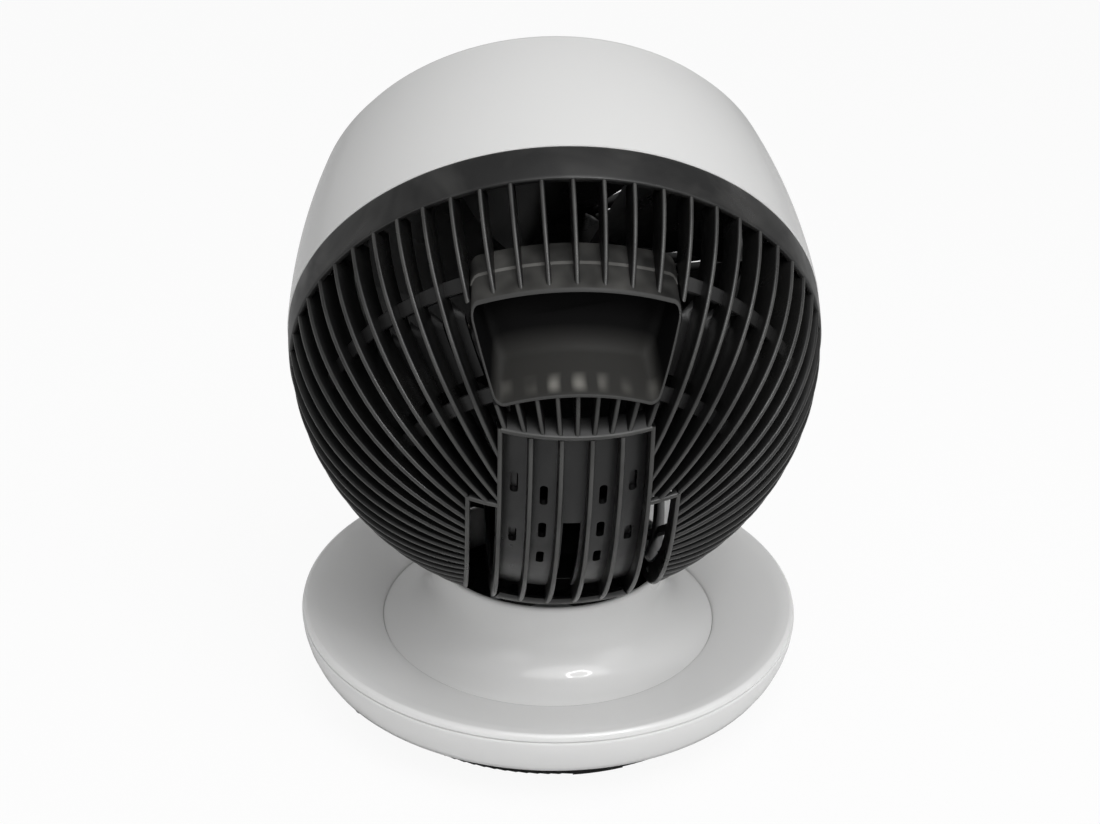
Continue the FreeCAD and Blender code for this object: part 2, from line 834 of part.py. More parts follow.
def control_panel():
    """Dark inset that follows the slope of the dish, with a hole for each button."""
    inset = cover_skin().common(panel_zone(0, dish_edge_z - cover_wall, shoulder_z + 1))
    holes = []
    for angle in button_angles():
        x, y = polar(button_ring, angle)
        holes.append(cylinder(button_r + button_gap, board_high, shoulder_z + 5, x, y))
    return inset.cut(holes)


def button(angle):
    """Round key cut to the slope, with a flange that keeps it under the panel."""
    x, y = polar(button_ring, angle)
    reach = button_r + 3
    low_r = button_ring - reach
    high_r = button_ring + reach
    envelope = turned(
        (low_r, button_low),
        (high_r, button_low),
        (high_r, dish_height(high_r) + button_proud),
        (low_r, dish_height(low_r) + button_proud))
    flange_top = dish_height(button_ring - button_r - 1) - cover_wall - 0.4
    flange = cylinder(button_r + 1, button_low, min(flange_top, button_low + 1.6), x, y)
    return cylinder(button_r, button_low, shoulder_z + 5, x, y).common(envelope).fuse(flange)


def control_board():
    """Circuit board on the tray's flange, with one switch under each button."""
    inner = well_r + cover_wall + 1.5
    board = ring_sector(panel_out_r - 3, inner, 180, panel_half_angle - 1, board_low, board_high)
    switches = []
    for angle in button_angles():
        x, y = polar(button_ring, angle)
        half = switch_side / 2
        switches.append(box(x - half, x + half, y - half, y + half, board_high, board_high + 3))
        switches.append(cylinder(1.7, board_high + 3, switch_top, x, y))
    return board.fuse(switches)


def foot_pad(angle):
    return ring_sector(foot_out_r, foot_in_r, angle, foot_half_angle, 0, foot_lift + foot_recess)


def base_tray():
    floor_top = foot_lift + tray_wall
    flange_r = base_foot_r - cover_wall - 0.3
    pan = turned(
        (0, foot_lift),
        (tray_r - tray_edge, foot_lift),
        ((tray_r - 0.3 * tray_edge, foot_lift + 0.3 * tray_edge), (tray_r, foot_lift + tray_edge)),
        (tray_top_r, base_foot_z),
        (flange_r, base_foot_z),
        (flange_r, board_low),
        (tray_top_r - tray_wall, board_low),
        (tray_r - tray_wall, floor_top),
        (0, floor_top))
    bosses = []
    holes = []
    for angle in base_screw_angles:
        x, y = polar(base_screw_ring, angle)
        bosses.append(cylinder(boss_r, foot_lift, boss_foot_z, x, y))
        holes.append(cylinder(screw_r + 0.2, foot_lift - 1, boss_foot_z + 1, x, y))
        holes.append(cylinder(screw_head_r + 0.4, foot_lift - 1, foot_lift + screw_head + 1, x, y))
    for angle in foot_angles:
        holes.append(foot_pad(angle))
    holes.append(gland_cylinder(gland_r, tray_top_r - gland_length, tray_top_r + 5))
    return pan.fuse(bosses).cut(holes)


def rubber_feet():
    return Part.makeCompound([foot_pad(angle) for angle in foot_angles])


def base_screws():
    made = []
    head_low = foot_lift + 1
    head_top = head_low + screw_head
    for angle in base_screw_angles:
        x, y = polar(base_screw_ring, angle)
        shank = cylinder(screw_r - run_gap, head_top, base_screw_top - 1, x, y)
        made.append(shank.fuse(cylinder(screw_head_r, head_low, head_top, x, y)))
    return Part.makeCompound(made)


def base_weight():
    low = foot_lift + tray_wall
    return tube(ballast_out_r, ballast_in_r, low, low + ballast_thick)


def gland_cylinder(radius, start, end):
    """Cylinder along the lead's way out, between two distances from the swivel axis."""
    x, y = polar(1, gland_turn)
    return Part.makeCylinder(radius, end - start, V(x * start, y * start, gland_z), V(x, y, 0))


def lead_gland():
    start = tray_top_r - gland_length * 0.6
    end = start + gland_length
    flange = gland_cylinder(gland_r + 1.4, tray_top_r + 0.1, tray_top_r + 2.1)
    body = gland_cylinder(gland_r, start, end).fuse(flange)
    return body.cut(gland_cylinder(gland_bore_r, start - 1, end + 1))


# ---------------------------------------------------------------- swivel
turntable_top = turntable_z + turntable_thick
turntable_r = pedestal_r - 3.8
spigot_low = deck_z - cover_wall - 0.3
wire_bore_r = 6.0
yoke_screw_x = arm_inner - arm_flange / 2
yoke_screw_y = 8.0


def swivel_bush():
    return tube(swivel_bore_r, spigot_r + run_gap, deck_z - cover_wall, turntable_z - 0.1)


def swing_ring():
    """Fixed gear round the swivel bush."""
    blank = prism(gear_outline(swing_module, swing_ring_teeth), deck_z, deck_z + ring_gear_thick)
    return blank.cut(cylinder(swivel_bore_r, deck_z - 1, deck_z + ring_gear_thick + 1))


def swing_pinion():
    low = deck_z + 0.4
    phase = swing_pinion_teeth / 2.0 + 0.5
    gear = prism(gear_outline(swing_module, swing_pinion_teeth, phase), low, deck_z + ring_gear_thick)
    pinion = gear.fuse(cylinder(gear_shaft_r, low, turntable_top + 6))
    pinion.translate(V(0, swing_offset, 0))
    return pinion


def swing_motor():
    body = cylinder(swing_motor_r, turntable_top, turntable_top + swing_motor_height, 0, swing_offset)
    return body.cut(cylinder(gear_shaft_r + run_gap, turntable_top - 1, turntable_top + 7, 0, swing_offset))


def turntable():
    plate = cylinder(turntable_r, turntable_z, turntable_top)
    spigot = cylinder(spigot_r, spigot_low, turntable_z)
    holes = [cylinder(wire_bore_r, spigot_low - 1, turntable_top + 1),
             cylinder(shaft_hole_r, turntable_z - 1, turntable_top + 1, 0, swing_offset)]
    for x in (-yoke_screw_x, yoke_screw_x):
        for y in (-yoke_screw_y, yoke_screw_y):
            holes.append(cylinder(screw_r, turntable_z - 1, turntable_top + 1, x, y))
    return plate.fuse(spigot).cut(holes)


def swivel_retainer():
    return tube(swivel_bore_r + 4, wire_bore_r, spigot_low - 2, spigot_low)


def pedestal():
    """Neck that flares down to a ring in the dish; its collar is cut to the head's swing."""
    flare = pedestal_r - neck_r
    flare_z = pedestal_z + flare
    inner_flare = flare + pedestal_wall
    corner = math.sqrt(0.5)
    skirt_in = turntable_r + 0.2
    ledge_z = flare_z - math.sqrt(inner_flare ** 2 - (pedestal_r - skirt_in) ** 2)
    middle = math.radians(50)
    inner_mid = (pedestal_r - inner_flare * math.sin(middle), flare_z - inner_flare * math.cos(middle))
    inner_r = neck_r - pedestal_wall
    neck = turned(
        (pedestal_r, deck_z + 0.6),
        (pedestal_r, pedestal_z),
        ((pedestal_r - flare * corner, flare_z - flare * corner), (neck_r, flare_z)),
        (neck_r, collar_z - 3.2),
        ((neck_r - 0.6, collar_z - 0.9), (neck_r - 2.0, collar_z)),
        (inner_r, collar_z - 0.4),
        (inner_r, flare_z),
        (inner_mid, (skirt_in, ledge_z)),
        (skirt_in, deck_z + 0.6))
    swing = turned(
        (0, -1),
        (housing_rear_r + ball_gap, -1),
        ((housing_mid_r + ball_gap, housing_depth / 2), (housing_front_r + ball_gap, housing_depth)),
        (0, housing_depth))
    swing.rotate(V(0, 0, 0), AXIS_X, 90)
    swing.translate(V(0, 0, pivot_z))
    return neck.cut([swing, ball(housing_rear_r + ball_gap, pivot_z)])


# ---------------------------------------------------------------- yoke
def yoke_arm(side):
    """Tapered plate from the turntable up to the tilt axis, with a screwed foot."""
    foot_z = turntable_top
    flat = [V(arm_inner, -arm_foot_half, foot_z), V(arm_inner, arm_foot_half, foot_z),
            V(arm_inner, arm_top_half, pivot_z), V(arm_inner, -arm_top_half, pivot_z)]
    plate = Part.Face(Part.makePolygon(flat + flat[:1])).extrude(V(arm_thick, 0, 0))
    boss = rod(arm_boss_r, arm_inner, arm_outer, 0, pivot_z)
    flange_x = arm_inner - arm_flange
    flange_z = foot_z + arm_flange_thick
    flange = box(flange_x, arm_inner, -arm_foot_half, arm_foot_half, foot_z, flange_z)
    holes = [rod(pin_r + run_gap + bush_wall, arm_inner - 1, arm_outer + 1, 0, pivot_z)]
    for y in (-yoke_screw_y, yoke_screw_y):
        holes.append(cylinder(screw_r + 0.2, foot_z - 1, flange_z + 1, yoke_screw_x, y))
    arm = plate.fuse([boss, flange]).cut(holes)
    return arm if side > 0 else arm.mirror(V(0, 0, 0), AXIS_X)


def yoke_screws():
    low = turntable_z + 0.2
    seat = turntable_top + arm_flange_thick
    made = []
    for x in (-yoke_screw_x, yoke_screw_x):
        for y in (-yoke_screw_y, yoke_screw_y):
            shank = cylinder(screw_r - run_gap, low, seat, x, y)
            made.append(shank.fuse(cylinder(screw_head_r, seat, seat + screw_head, x, y)))
    return Part.makeCompound(made)


def pivot_bushes():
    bore = rod(pin_r + run_gap, arm_inner - 1, arm_outer + 1, 0, pivot_z)
    ring = rod(pin_r + run_gap + bush_wall, arm_inner, arm_outer, 0, pivot_z)
    return Part.makeCompound(both_sides(ring.cut(bore)))


def tilt_sector():
    """Toothed sector on the left arm, centred on the tilt axis and drawn along Z."""
    phase = tilt_rest * tilt_ring_teeth / 360.0
    root = tilt_module * tilt_ring_teeth / 2.0
    margin = 14.0
    face = -arm_inner + tilt_gear_thick
    gear = prism(gear_outline(tilt_module, tilt_ring_teeth, phase), -arm_inner, face)
    span = ring_sector(root + 5, 1, tilt_travel / 2, tilt_travel / 2 + margin, -arm_inner - 1, 0)
    gear = gear.common(span).fuse(cylinder(arm_boss_r, -arm_inner, face))
    gear = gear.cut(cylinder(pin_r + 0.6, -arm_inner - 1, 0))
    gear.rotate(V(0, 0, 0), V(0, 1, 0), 90)
    gear.translate(V(0, 0, pivot_z))
    return gear


# ---------------------------------------------------------------- assembly
standing = {
    "base_cover": base_cover,
    "base_tray": base_tray,
    "rubber_feet": rubber_feet,
    "base_screws": base_screws,
    "base_weight": base_weight,
    "control_panel": control_panel,
    "control_board": control_board,
    "lead_gland": lead_gland,
    "swivel_bush": swivel_bush,
    "swing_ring": swing_ring,
    "swing_pinion": swing_pinion,
    "swing_motor": swing_motor,
    "turntable": turntable,
    "swivel_retainer": swivel_retainer,
    "pedestal": pedestal,
    "yoke_screws": yoke_screws,
    "pivot_bushes": pivot_bushes,
    "tilt_sector": tilt_sector,
}
head_nodes = {
    "front_housing": front_housing,
    "air_duct": air_duct,
    "head_screws": head_screws,
    "rear_grille": rear_grille,
    "handle_pocket": handle_pocket,
    "rear_panel": rear_panel,
    "drive_housing": drive_housing,
    "pivot_pins": pivot_pins,
    "tilt_motor": tilt_motor,
    "tilt_pinion": tilt_pinion,
    "motor_rear_can": motor_rear_can,
    "motor_front_can": motor_front_can,
    "motor_bearings": motor_bearings,
    "stator": stator,
    "motor_shaft": motor_shaft,
    "rotor": rotor,
    "impeller": impeller,
    "impeller_nut": impeller_nut,
    "front_grille": front_grille,
    "front_cap": front_cap,
}

nodes = {name: make() for name, make in standing.items()}
nodes.update({name: seat_head(make()) for name, make in head_nodes.items()})
nodes["yoke_arm_left"] = yoke_arm(-1)
nodes["yoke_arm_right"] = yoke_arm(1)
for name, angle in zip(button_names, button_angles()):
    nodes[name] = button(angle)

os.makedirs("parts", exist_ok=True)
for name, shape in nodes.items():
    shape.exportStep("parts/" + name + ".step")
    print(name, len(shape.Solids), "solids,", round(shape.Volume), "mm3, valid", shape.isValid())
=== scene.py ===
import json
import math

import bmesh
import bpy
from mathutils import Matrix, Vector


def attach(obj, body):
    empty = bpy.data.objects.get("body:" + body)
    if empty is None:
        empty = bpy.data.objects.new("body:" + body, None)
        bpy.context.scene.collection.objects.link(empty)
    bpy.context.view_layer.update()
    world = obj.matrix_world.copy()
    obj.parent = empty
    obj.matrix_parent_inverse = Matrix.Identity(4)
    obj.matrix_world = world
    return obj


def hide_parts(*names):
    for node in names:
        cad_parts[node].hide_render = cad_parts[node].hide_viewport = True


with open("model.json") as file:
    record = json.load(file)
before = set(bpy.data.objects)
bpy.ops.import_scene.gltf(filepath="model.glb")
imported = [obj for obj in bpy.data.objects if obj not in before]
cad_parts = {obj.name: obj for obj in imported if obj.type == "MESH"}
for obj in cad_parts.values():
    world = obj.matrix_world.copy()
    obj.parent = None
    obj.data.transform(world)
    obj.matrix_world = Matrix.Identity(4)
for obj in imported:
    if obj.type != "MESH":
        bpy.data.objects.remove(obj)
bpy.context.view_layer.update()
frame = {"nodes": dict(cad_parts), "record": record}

# Looks of the air circulator fan. Metres in Blender; the makers' drawing values below are
# millimetres, the same as the solids have. +Z up, front towards -Y.
# Head pieces are made in the head's frame (X across, Y up, Z forwards along the blade
# axis, origin at the pivot) and seated by SEAT_HEAD.
MM = 0.001
FULL = 2 * math.pi

# ------------------------------------------------------------------ drawing values
BALL = 125.0
PIVOT_HEIGHT = 179.3
REST_TILT = 27.0
RIM_WIDTH = 17.3
HOUSING_REAR = 125.4
HOUSING_FRONT = 112.5
HOUSING_DEPTH = 85.0
HOUSING_WALL = 2.4
MOUTH = 103.5
BAR_COUNT = 60
BAR_THICK = 2.2
BAR_INNER = 115.0
BAR_CROWN = 124.7
HOOPS = (108.0, 80.2)
HOOP_TOP = 119.6
PANEL_HALF = 30.0
PANEL_TOP = 64.0
PANEL_BOTTOM = -50.0
PANEL_BALL = 117.0
WINDOW_OUTER = 43.0
WINDOW_TOP = 31.0
RIB = 2.2
SKIRT_BACK = BALL * math.sin(math.radians(60))
POCKET_OUT = 107.3
POCKET_IN = 81.2
POCKET_HALF = math.radians(23.3)
POCKET_DEPTH = 23.0

SEAT_HEAD = Matrix.Translation((0, 0, PIVOT_HEIGHT)) @ Matrix.Rotation(math.radians(90 - REST_TILT), 4, "X")


# ------------------------------------------------------------------ shader helper
class Value:
    """A socket that adds Math nodes when it is used in an expression."""

    def __init__(self, finish, socket):
        self.finish = finish
        self.socket = socket

    def math(self, operation, *others):
        values = dict(enumerate([self, *others]))
        return self.finish.node("ShaderNodeMath", {"operation": operation}, values).out(0)

    def __add__(self, other):
        return self.math("ADD", other)

    __radd__ = __add__

    def __sub__(self, other):
        return self.math("SUBTRACT", other)

    def __rsub__(self, other):
        return self.finish.node("ShaderNodeMath", {"operation": "SUBTRACT"}, {0: other, 1: self}).out(0)

    def __mul__(self, other):
        return self.math("MULTIPLY", other)

    __rmul__ = __mul__


class Made:
    """A node of a finish, with its outputs as values."""

    def __init__(self, finish, node):
        self.finish = finish
        self.node = node

    def out(self, key):
        return Value(self.finish, self.node.outputs[key])


class Finish:
    """A procedural material; shader is its Principled node."""

    def __init__(self, name):
        self.material = bpy.data.materials.new(name)
        self.material.use_nodes = True
        self.tree = self.material.node_tree
        self.shader = self.tree.nodes["Principled BSDF"]
        self.place = self.node("ShaderNodeTexCoord").out("Object")

    def node(self, kind, settings=None, values=None):
        made = self.tree.nodes.new(kind)
        for key, value in (settings or {}).items():
            if key == "stops":
                ramp = made.color_ramp
                while len(ramp.elements) < len(value):
                    ramp.elements.new(0.5)
                for element, (position, colour) in zip(ramp.elements, value):
                    element.position = position
                    element.color = (*colour, 1) if isinstance(colour, tuple) else (colour, colour, colour, 1)
            else:
                setattr(made, key, value)
        for key, value in (values or {}).items():
            self.feed(made.inputs[key], value)
        return Made(self, made)

    def feed(self, socket, value):
        if isinstance(value, Value):
            self.tree.links.new(value.socket, socket)
        else:
            socket.default_value = value

    def set(self, **values):
        for key, value in values.items():
            self.feed(self.shader.inputs[key.replace("_", " ")], value)

    def noise(self, scale, detail=2.0, rough=0.5, stretch=(1, 1, 1), twist=0.0):
        spread = self.node("ShaderNodeMapping", {}, {"Vector": self.place, "Scale": stretch}).out(0)
        values = {"Vector": spread, "Scale": scale, "Detail": detail, "Roughness": rough, "Distortion": twist}
        return self.node("ShaderNodeTexNoise", {}, values).out("Fac")

    def specks(self, scale, low, high):
        """Small scattered dots: 1 in the dot, 0 between."""
        cells = self.node("ShaderNodeTexVoronoi", {}, {"Vector": self.place, "Scale": scale}).out("Distance")
        return self.between(cells, high, low)

    def between(self, value, low, high):
        """0 below low, 1 above high (or the reverse when low is above high)."""
        values = {"Value": value, "From Min": low, "From Max": high, "To Min": 0.0, "To Max": 1.0}
        return self.node("ShaderNodeMapRange", {"clamp": True}, values).out(0)

    def mix(self, share, first, second):
        values = {"Factor": share, 6: (*first, 1) if isinstance(first, tuple) else first,
                  7: (*second, 1) if isinstance(second, tuple) else second}
        return self.node("ShaderNodeMix", {"data_type": "RGBA"}, values).out(2)

    def ridge(self, value, start, full, fading, gone):
        """0 outside start and gone, 1 between full and fading."""
        return self.between(value, start, full) * self.between(value, gone, fading)

    def from_pivot(self):
        """How far a point lies across, behind and above the tilt axis, in metres."""
        parts = self.node("ShaderNodeSeparateXYZ", {}, {"Vector": self.place})
        return parts.out("X"), parts.out("Y"), parts.out("Z") - PIVOT_HEIGHT * MM

    def bump(self, height, strength, distance):
        values = {"Height": height, "Strength": strength, "Distance": distance}
        self.set(Normal=self.node("ShaderNodeBump", {}, values).out(0))


# ------------------------------------------------------------------ finishes
def gloss_white(name, tone=(0.70, 0.70, 0.695), rough=0.26):
    """Injection-moulded white with a polished skin: faint orange peel, dust and handling marks."""
    made = Finish(name)
    cloud = made.noise(7.0, 2.0, 0.5)
    dust = made.specks(620.0, 0.05, 0.11) * made.between(made.noise(45.0), 0.55, 0.75)
    shaded = tuple(channel * 0.985 for channel in tone)
    colour = made.mix(cloud * 0.5 + made.noise(1500.0, 1.0) * 0.5, shaded, tone)
    made.set(Base_Color=made.mix(dust * 0.35, colour, (0.42, 0.41, 0.40)))
    made.set(Roughness=rough + made.noise(14.0, 1.0, 0.5) * 0.05 + dust * 0.15)
    made.set(IOR=1.49, Coat_Roughness=0.04)
    made.set(Coat_Weight=0.7)
    made.bump(made.noise(90.0, 0.0, 0.4), 0.02, 0.0002)
    return made.material


def black_moulding(name, tone=0.005, rough=0.37, grain=1.0, patch=2.4):
    """Black polypropylene off a polished tool: flow lines, light dust, and cloudy patches of painted sheen,
    where the base colour is lighter by the patch factor and the roughness lower.
    """
    made = Finish(name)
    cloud = made.between(made.noise(24.0, 3.0, 0.6, (1, 1, 1), 0.6), 0.46, 0.66)
    flow = made.between(made.noise(60.0, 2.0, 0.5, (1, 1, 0.3), 0.8), 0.4, 0.7)
    dust = made.specks(900.0, 0.06, 0.13) * made.between(made.noise(60.0), 0.5, 0.72)
    low = (tone, tone, tone * 1.02)
    # Painted sheen: in the cloudy patches the base colour rises from the tone to tone times patch.
    high = (tone * patch, tone * patch * 0.99, tone * patch * 0.96)
    colour = made.mix(dust * 0.4, made.mix(cloud, low, high), (0.16, 0.155, 0.15))
    made.set(Base_Color=colour)
    made.set(Roughness=rough - 0.15 * cloud + 0.07 * flow + dust * 0.2)
    made.set(IOR=1.50)
    texture = made.noise(420.0, 2.0, 0.6) * 0.35 * grain + made.noise(60.0, 2.0, 0.5)
    made.bump(texture, 0.10, 0.0005)
    return made, colour


def moulded_black(*settings):
    """The black moulding's material, for pieces that need nothing more."""
    return black_moulding(*settings)[0].material


def square(length):
    """Square of a length in millimetres, in the shader's metres."""
    return (length * MM) ** 2


BAR_PAINTED_HIGHLIGHT = (124.25, 124.6)    # radii over which a bar's crest is painted pale: a painted highlight


def guard_black(name):
    """The black moulding with a painted highlight: its outermost edges, where the bars crown, are painted
    pale in patches.
    """
    made, plain = black_moulding(name, 0.004)
    across, back, high = made.from_pivot()
    reach = across * across + back * back + high * high
    # Painted highlight: the crests' base colour turns pale grey in patches.
    crown = made.between(reach, *map(square, BAR_PAINTED_HIGHLIGHT)) * made.between(made.noise(38.0, 2.0, 0.5), 0.25, 0.6)
    made.set(Base_Color=made.mix(crown, plain, (0.050, 0.050, 0.048)))
    return made.material


# In the pocket's finish each pair is where a painted mark of light or shade starts and where it is full; four
# values add where it fades and is gone.
CUP_LOWER = (88.88, 83.07)               # from the blade axis, inwards: the lower wall, painted lighter as lit
CUP_OUTSIDE = (106.82, 107.05)           # from the blade axis, outwards: the upper wall's outer face, painted pale as sheen
CUP_LIP = (125.14, 125.34)               # from the pivot: the lip, painted pale as a highlight
CUP_LEDGE = (11.6, 11.8, 12.2, 12.4)     # under the ball: the ledge, painted pale as a highlight
CUP_SINK_GLINTS = (84.0, 89.5, 91.2, 95.0)     # behind the pivot along the blade axis: the painted glints of the sink marks


def cup_black(name):
    """Matt black inside the finger pocket with painted light and shade: the lower wall painted lighter as lit
    and the rest near black as shaded, painted glints of sink marks on the lower wall, a mottled pale painted
    sheen outside, and painted highlights along the ledge and the lip.
    """
    made = Finish(name)
    across, back, high = made.from_pivot()
    lean = math.radians(REST_TILT)
    rise = math.sin(lean) * back + math.cos(lean) * high
    depth = math.cos(lean) * back - math.sin(lean) * high
    far = across * across + rise * rise
    low = made.between(far, *map(square, CUP_LOWER))
    outside = made.between(far, *map(square, CUP_OUTSIDE))
    edge = made.between(far + depth * depth, *map(square, CUP_LIP))
    under_ball = (square(BALL) - far).math("SQRT") - depth
    step = made.ridge(under_ball, *(place * MM for place in CUP_LEDGE)) * outside
    uneven = across * 640.0 + made.noise(34.0, 1.0) * 4.5
    sink_glints = made.between(uneven.math("SINE"), -0.5, 1.0) * made.between(made.noise(48.0, 1.0), 0.30, 0.62)
    sink_glints = sink_glints * made.ridge(depth, *(place * MM for place in CUP_SINK_GLINTS)) * low
    sheen_mottle = made.between(made.noise(48.0, 2.0, 0.6), 0.35, 0.7)
    # Painted light and shade: the lower wall, which faces up, is painted lighter as lit; the back and upper
    # walls are painted near black as shaded.
    colour = made.mix(low, (0.002, 0.002, 0.0021), (0.026, 0.0255, 0.024))
    # Painted glints of the sink marks: pale spots on the lower wall.
    colour = made.mix(sink_glints * 0.8, colour, (0.19, 0.185, 0.17))
    # Painted sheen: the upper wall's outer face is painted pale, mottled.
    colour = made.mix(outside * (0.15 + 0.85 * sheen_mottle), colour, (0.060, 0.059, 0.056))
    # Painted highlight along the ledge.
    colour = made.mix(step * (0.3 + 0.7 * sheen_mottle), colour, (0.15, 0.147, 0.14))
    # Painted highlight along the lip.
    made.set(Base_Color=made.mix(edge, colour, (0.055, 0.055, 0.054)))
    made.set(Roughness=0.55 - 0.12 * low - 0.25 * edge + 0.08 * made.noise(70.0))
    made.set(IOR=1.18)
    made.bump(made.noise(60.0, 2.0, 0.5), 0.12, 0.0005)
    return made.material


def soft_rubber(name):
    made = Finish(name)
    grain = made.noise(500.0, 4.0, 0.7)
    wear = made.between(made.noise(60.0, 3.0, 0.6), 0.5, 0.8)
    made.set(Base_Color=made.mix(wear, (0.018, 0.018, 0.018), (0.045, 0.044, 0.042)))
    made.set(Roughness=0.78 + 0.12 * grain)
    made.bump(grain, 0.3, 0.0004)
    return made.material


def plain_metal(name, tone, rough, brush=(1, 1, 14), scratch=0.12):
    """Machined or plated metal with fine lines across the given stretch."""
    made = Finish(name)
    lines = made.noise(260.0, 3.0, 0.6, brush)
    stain = made.between(made.noise(35.0, 3.0, 0.6), 0.45, 0.75)
    dull = tuple(channel * 0.72 for channel in tone)
    made.set(Base_Color=made.mix(stain, tone, dull))
    made.set(Metallic=1.0)
    made.set(Roughness=rough + scratch * lines + 0.08 * stain)
    made.bump(lines, 0.12, 0.0002)
    return made.material


def white_nylon(name):
    made = Finish(name)
    cloud = made.noise(40.0, 3.0, 0.6)
    made.set(Base_Color=made.mix(cloud, (0.70, 0.68, 0.61), (0.78, 0.76, 0.70)))
    made.set(Roughness=0.42 + 0.1 * cloud)
    made.bump(made.noise(300.0), 0.08, 0.0003)
    return made.material


def stacked_sheets(name):
    """Varnished motor laminations: thin dark lines along the stack."""
    made = Finish(name)
    lines = made.between(made.noise(30.0, 1.0, 0.4, (1, 14, 14)), 0.4, 0.6)
    made.set(Base_Color=made.mix(lines, (0.05, 0.05, 0.055), (0.16, 0.15, 0.14)))
    made.set(Metallic=0.8)
    made.set(Roughness=0.45 + 0.15 * lines)
    made.bump(lines, 0.3, 0.0003)
    return made.material


def lacquered_board(name):
    made = Finish(name)
    tracks = made.between(made.noise(120.0, 0.0, 0.5, (1, 0.2, 1)), 0.52, 0.56)
    made.set(Base_Color=made.mix(tracks, (0.015, 0.09, 0.045), (0.03, 0.16, 0.08)))
    made.set(Roughness=0.3 + 0.1 * tracks)
    made.bump(tracks, 0.2, 0.0002)
    return made.material


FINISHES = {
    "white_shell": gloss_white("white shell"),
    "black_plastic": moulded_black("black moulding"),
    "panel_black": moulded_black("black panel", 0.012, 0.16, 0.3),
    "soft_rubber": soft_rubber("foot rubber"),
    "zinc_steel": plain_metal("zinc plated steel", (0.55, 0.56, 0.58), 0.28),
    "iron_weight": plain_metal("painted iron", (0.09, 0.09, 0.10), 0.55, (1, 1, 1)),
    "motor_alloy": plain_metal("cast alloy", (0.62, 0.63, 0.64), 0.38, (1, 1, 2)),
    "motor_dark": stacked_sheets("motor laminations"),
    "white_nylon": white_nylon("white nylon"),
    "bearing_steel": plain_metal("ground steel", (0.60, 0.61, 0.63), 0.16),
    "green_board": lacquered_board("circuit board"),
}
GUARD_BLACK = guard_black("black guard")
# Painted light: the base and pedestal wear the casing's white painted lighter, 0.82 against 0.70, to make up
# for the shade the head casts on them.
BASE_WHITE_PAINTED_LIGHTER = gloss_white("white base", (0.82, 0.82, 0.815))
for subpart in frame["record"]["subparts"]:
    for holder in frame["nodes"][subpart["node"]].material_slots:
        holder.link = "OBJECT"
        holder.material = FINISHES[subpart["material_slot"]]


# ------------------------------------------------------------------ shaping helpers
def arc(radius, start, end, steps, centre=(0.0, 0.0)):
    """Points on a circle; angles in degrees from the first axis to the second."""
    turns = [math.radians(start + (end - start) * index / steps) for index in range(steps + 1)]
    return [(centre[0] + radius * math.cos(turn), centre[1] + radius * math.sin(turn)) for turn in turns]


def closed_up(bm):
    """Merge doubles, cap open ends and turn the faces outwards."""
    bmesh.ops.remove_doubles(bm, verts=bm.verts, dist=0.002)
    bmesh.ops.holes_fill(bm, edges=[edge for edge in bm.edges if edge.is_boundary], sides=0)
    bmesh.ops.recalc_face_normals(bm, faces=bm.faces)
    return bm


def swept(points, axis, angle, steps, start=0.0):
    """Closed outline of 3-D points turned about an axis through the origin; angles in radians."""
    bm = bmesh.new()
    verts = [bm.verts.new(point) for point in points]
    edges = [bm.edges.new((verts[index - 1], verts[index])) for index in range(len(verts))]
    if start:
        bmesh.ops.rotate(bm, cent=(0, 0, 0), matrix=Matrix.Rotation(start, 3, axis), verts=verts)
    whole = abs(angle - FULL) < 1e-6
    bmesh.ops.spin(bm, geom=verts + edges, cent=(0, 0, 0), axis=axis, angle=angle, steps=steps,
                   use_merge=whole, use_duplicate=False)
    return closed_up(bm)


def turned(profile, steps=240, angle=FULL, start=0.0):
    """Closed (radius, height) outline turned about Z."""
    return swept([(radius, 0, height) for radius, height in profile], Vector((0, 0, 1)), angle, steps, start)


def blade_outline(inner, outer, half, crest=6, edge=0.35):
    """Section of a bar: (across, radius), with a round crest and eased inner edges."""
    crown = arc(half, 0, 180, crest, (0, outer - half))
    return crown + [(-half, inner + edge), (-half + edge, inner), (half - edge, inner), (half, inner + edge)]


def along_ball(outline, start, end, steps, across=0.0):
    """Sweep a section over the ball from one angle to another, top towards rear, about X."""
    points = [(across + x, radius, 0) for x, radius in outline]
    return swept(points, Vector((1, 0, 0)), -math.radians(end - start), steps, -math.radians(start))


def trimmed(bm, point, normal):
    """Cut off what lies on the normal's side of a plane, and cap the cut."""
    geometry = bm.verts[:] + bm.edges[:] + bm.faces[:]
    bmesh.ops.bisect_plane(bm, geom=geometry, plane_co=point, plane_no=normal, clear_outer=True)
    return closed_up(bm)


def joined(*shapes):
    """One bmesh of several."""
    total = bmesh.new()
    for shape in shapes:
        mesh = bpy.data.meshes.new("part")
        shape.to_mesh(mesh)
        shape.free()
        total.from_mesh(mesh)
        bpy.data.meshes.remove(mesh)
    return total


def placed(bm, matrix):
    bmesh.ops.transform(bm, matrix=matrix, verts=bm.verts)
    return bm


def about_z(degrees):
    """Turn from the top (+Y) towards +X."""
    return Matrix.Rotation(-math.radians(degrees), 4, "Z")


def rounded(bm, edges, offset, segments):
    """Round the given edges."""
    bmesh.ops.bevel(bm, geom=edges, offset=offset, segments=segments, affect="EDGES", profile=0.5,
                    material=-1)
    return bm


def edges_along(bm, axis):
    """Edges that run along an axis: 0 for X, 1 for Y, 2 for Z."""
    return [edge for edge in bm.edges if abs(edge.verts[0].co[axis] - edge.verts[1].co[axis]) > 1]


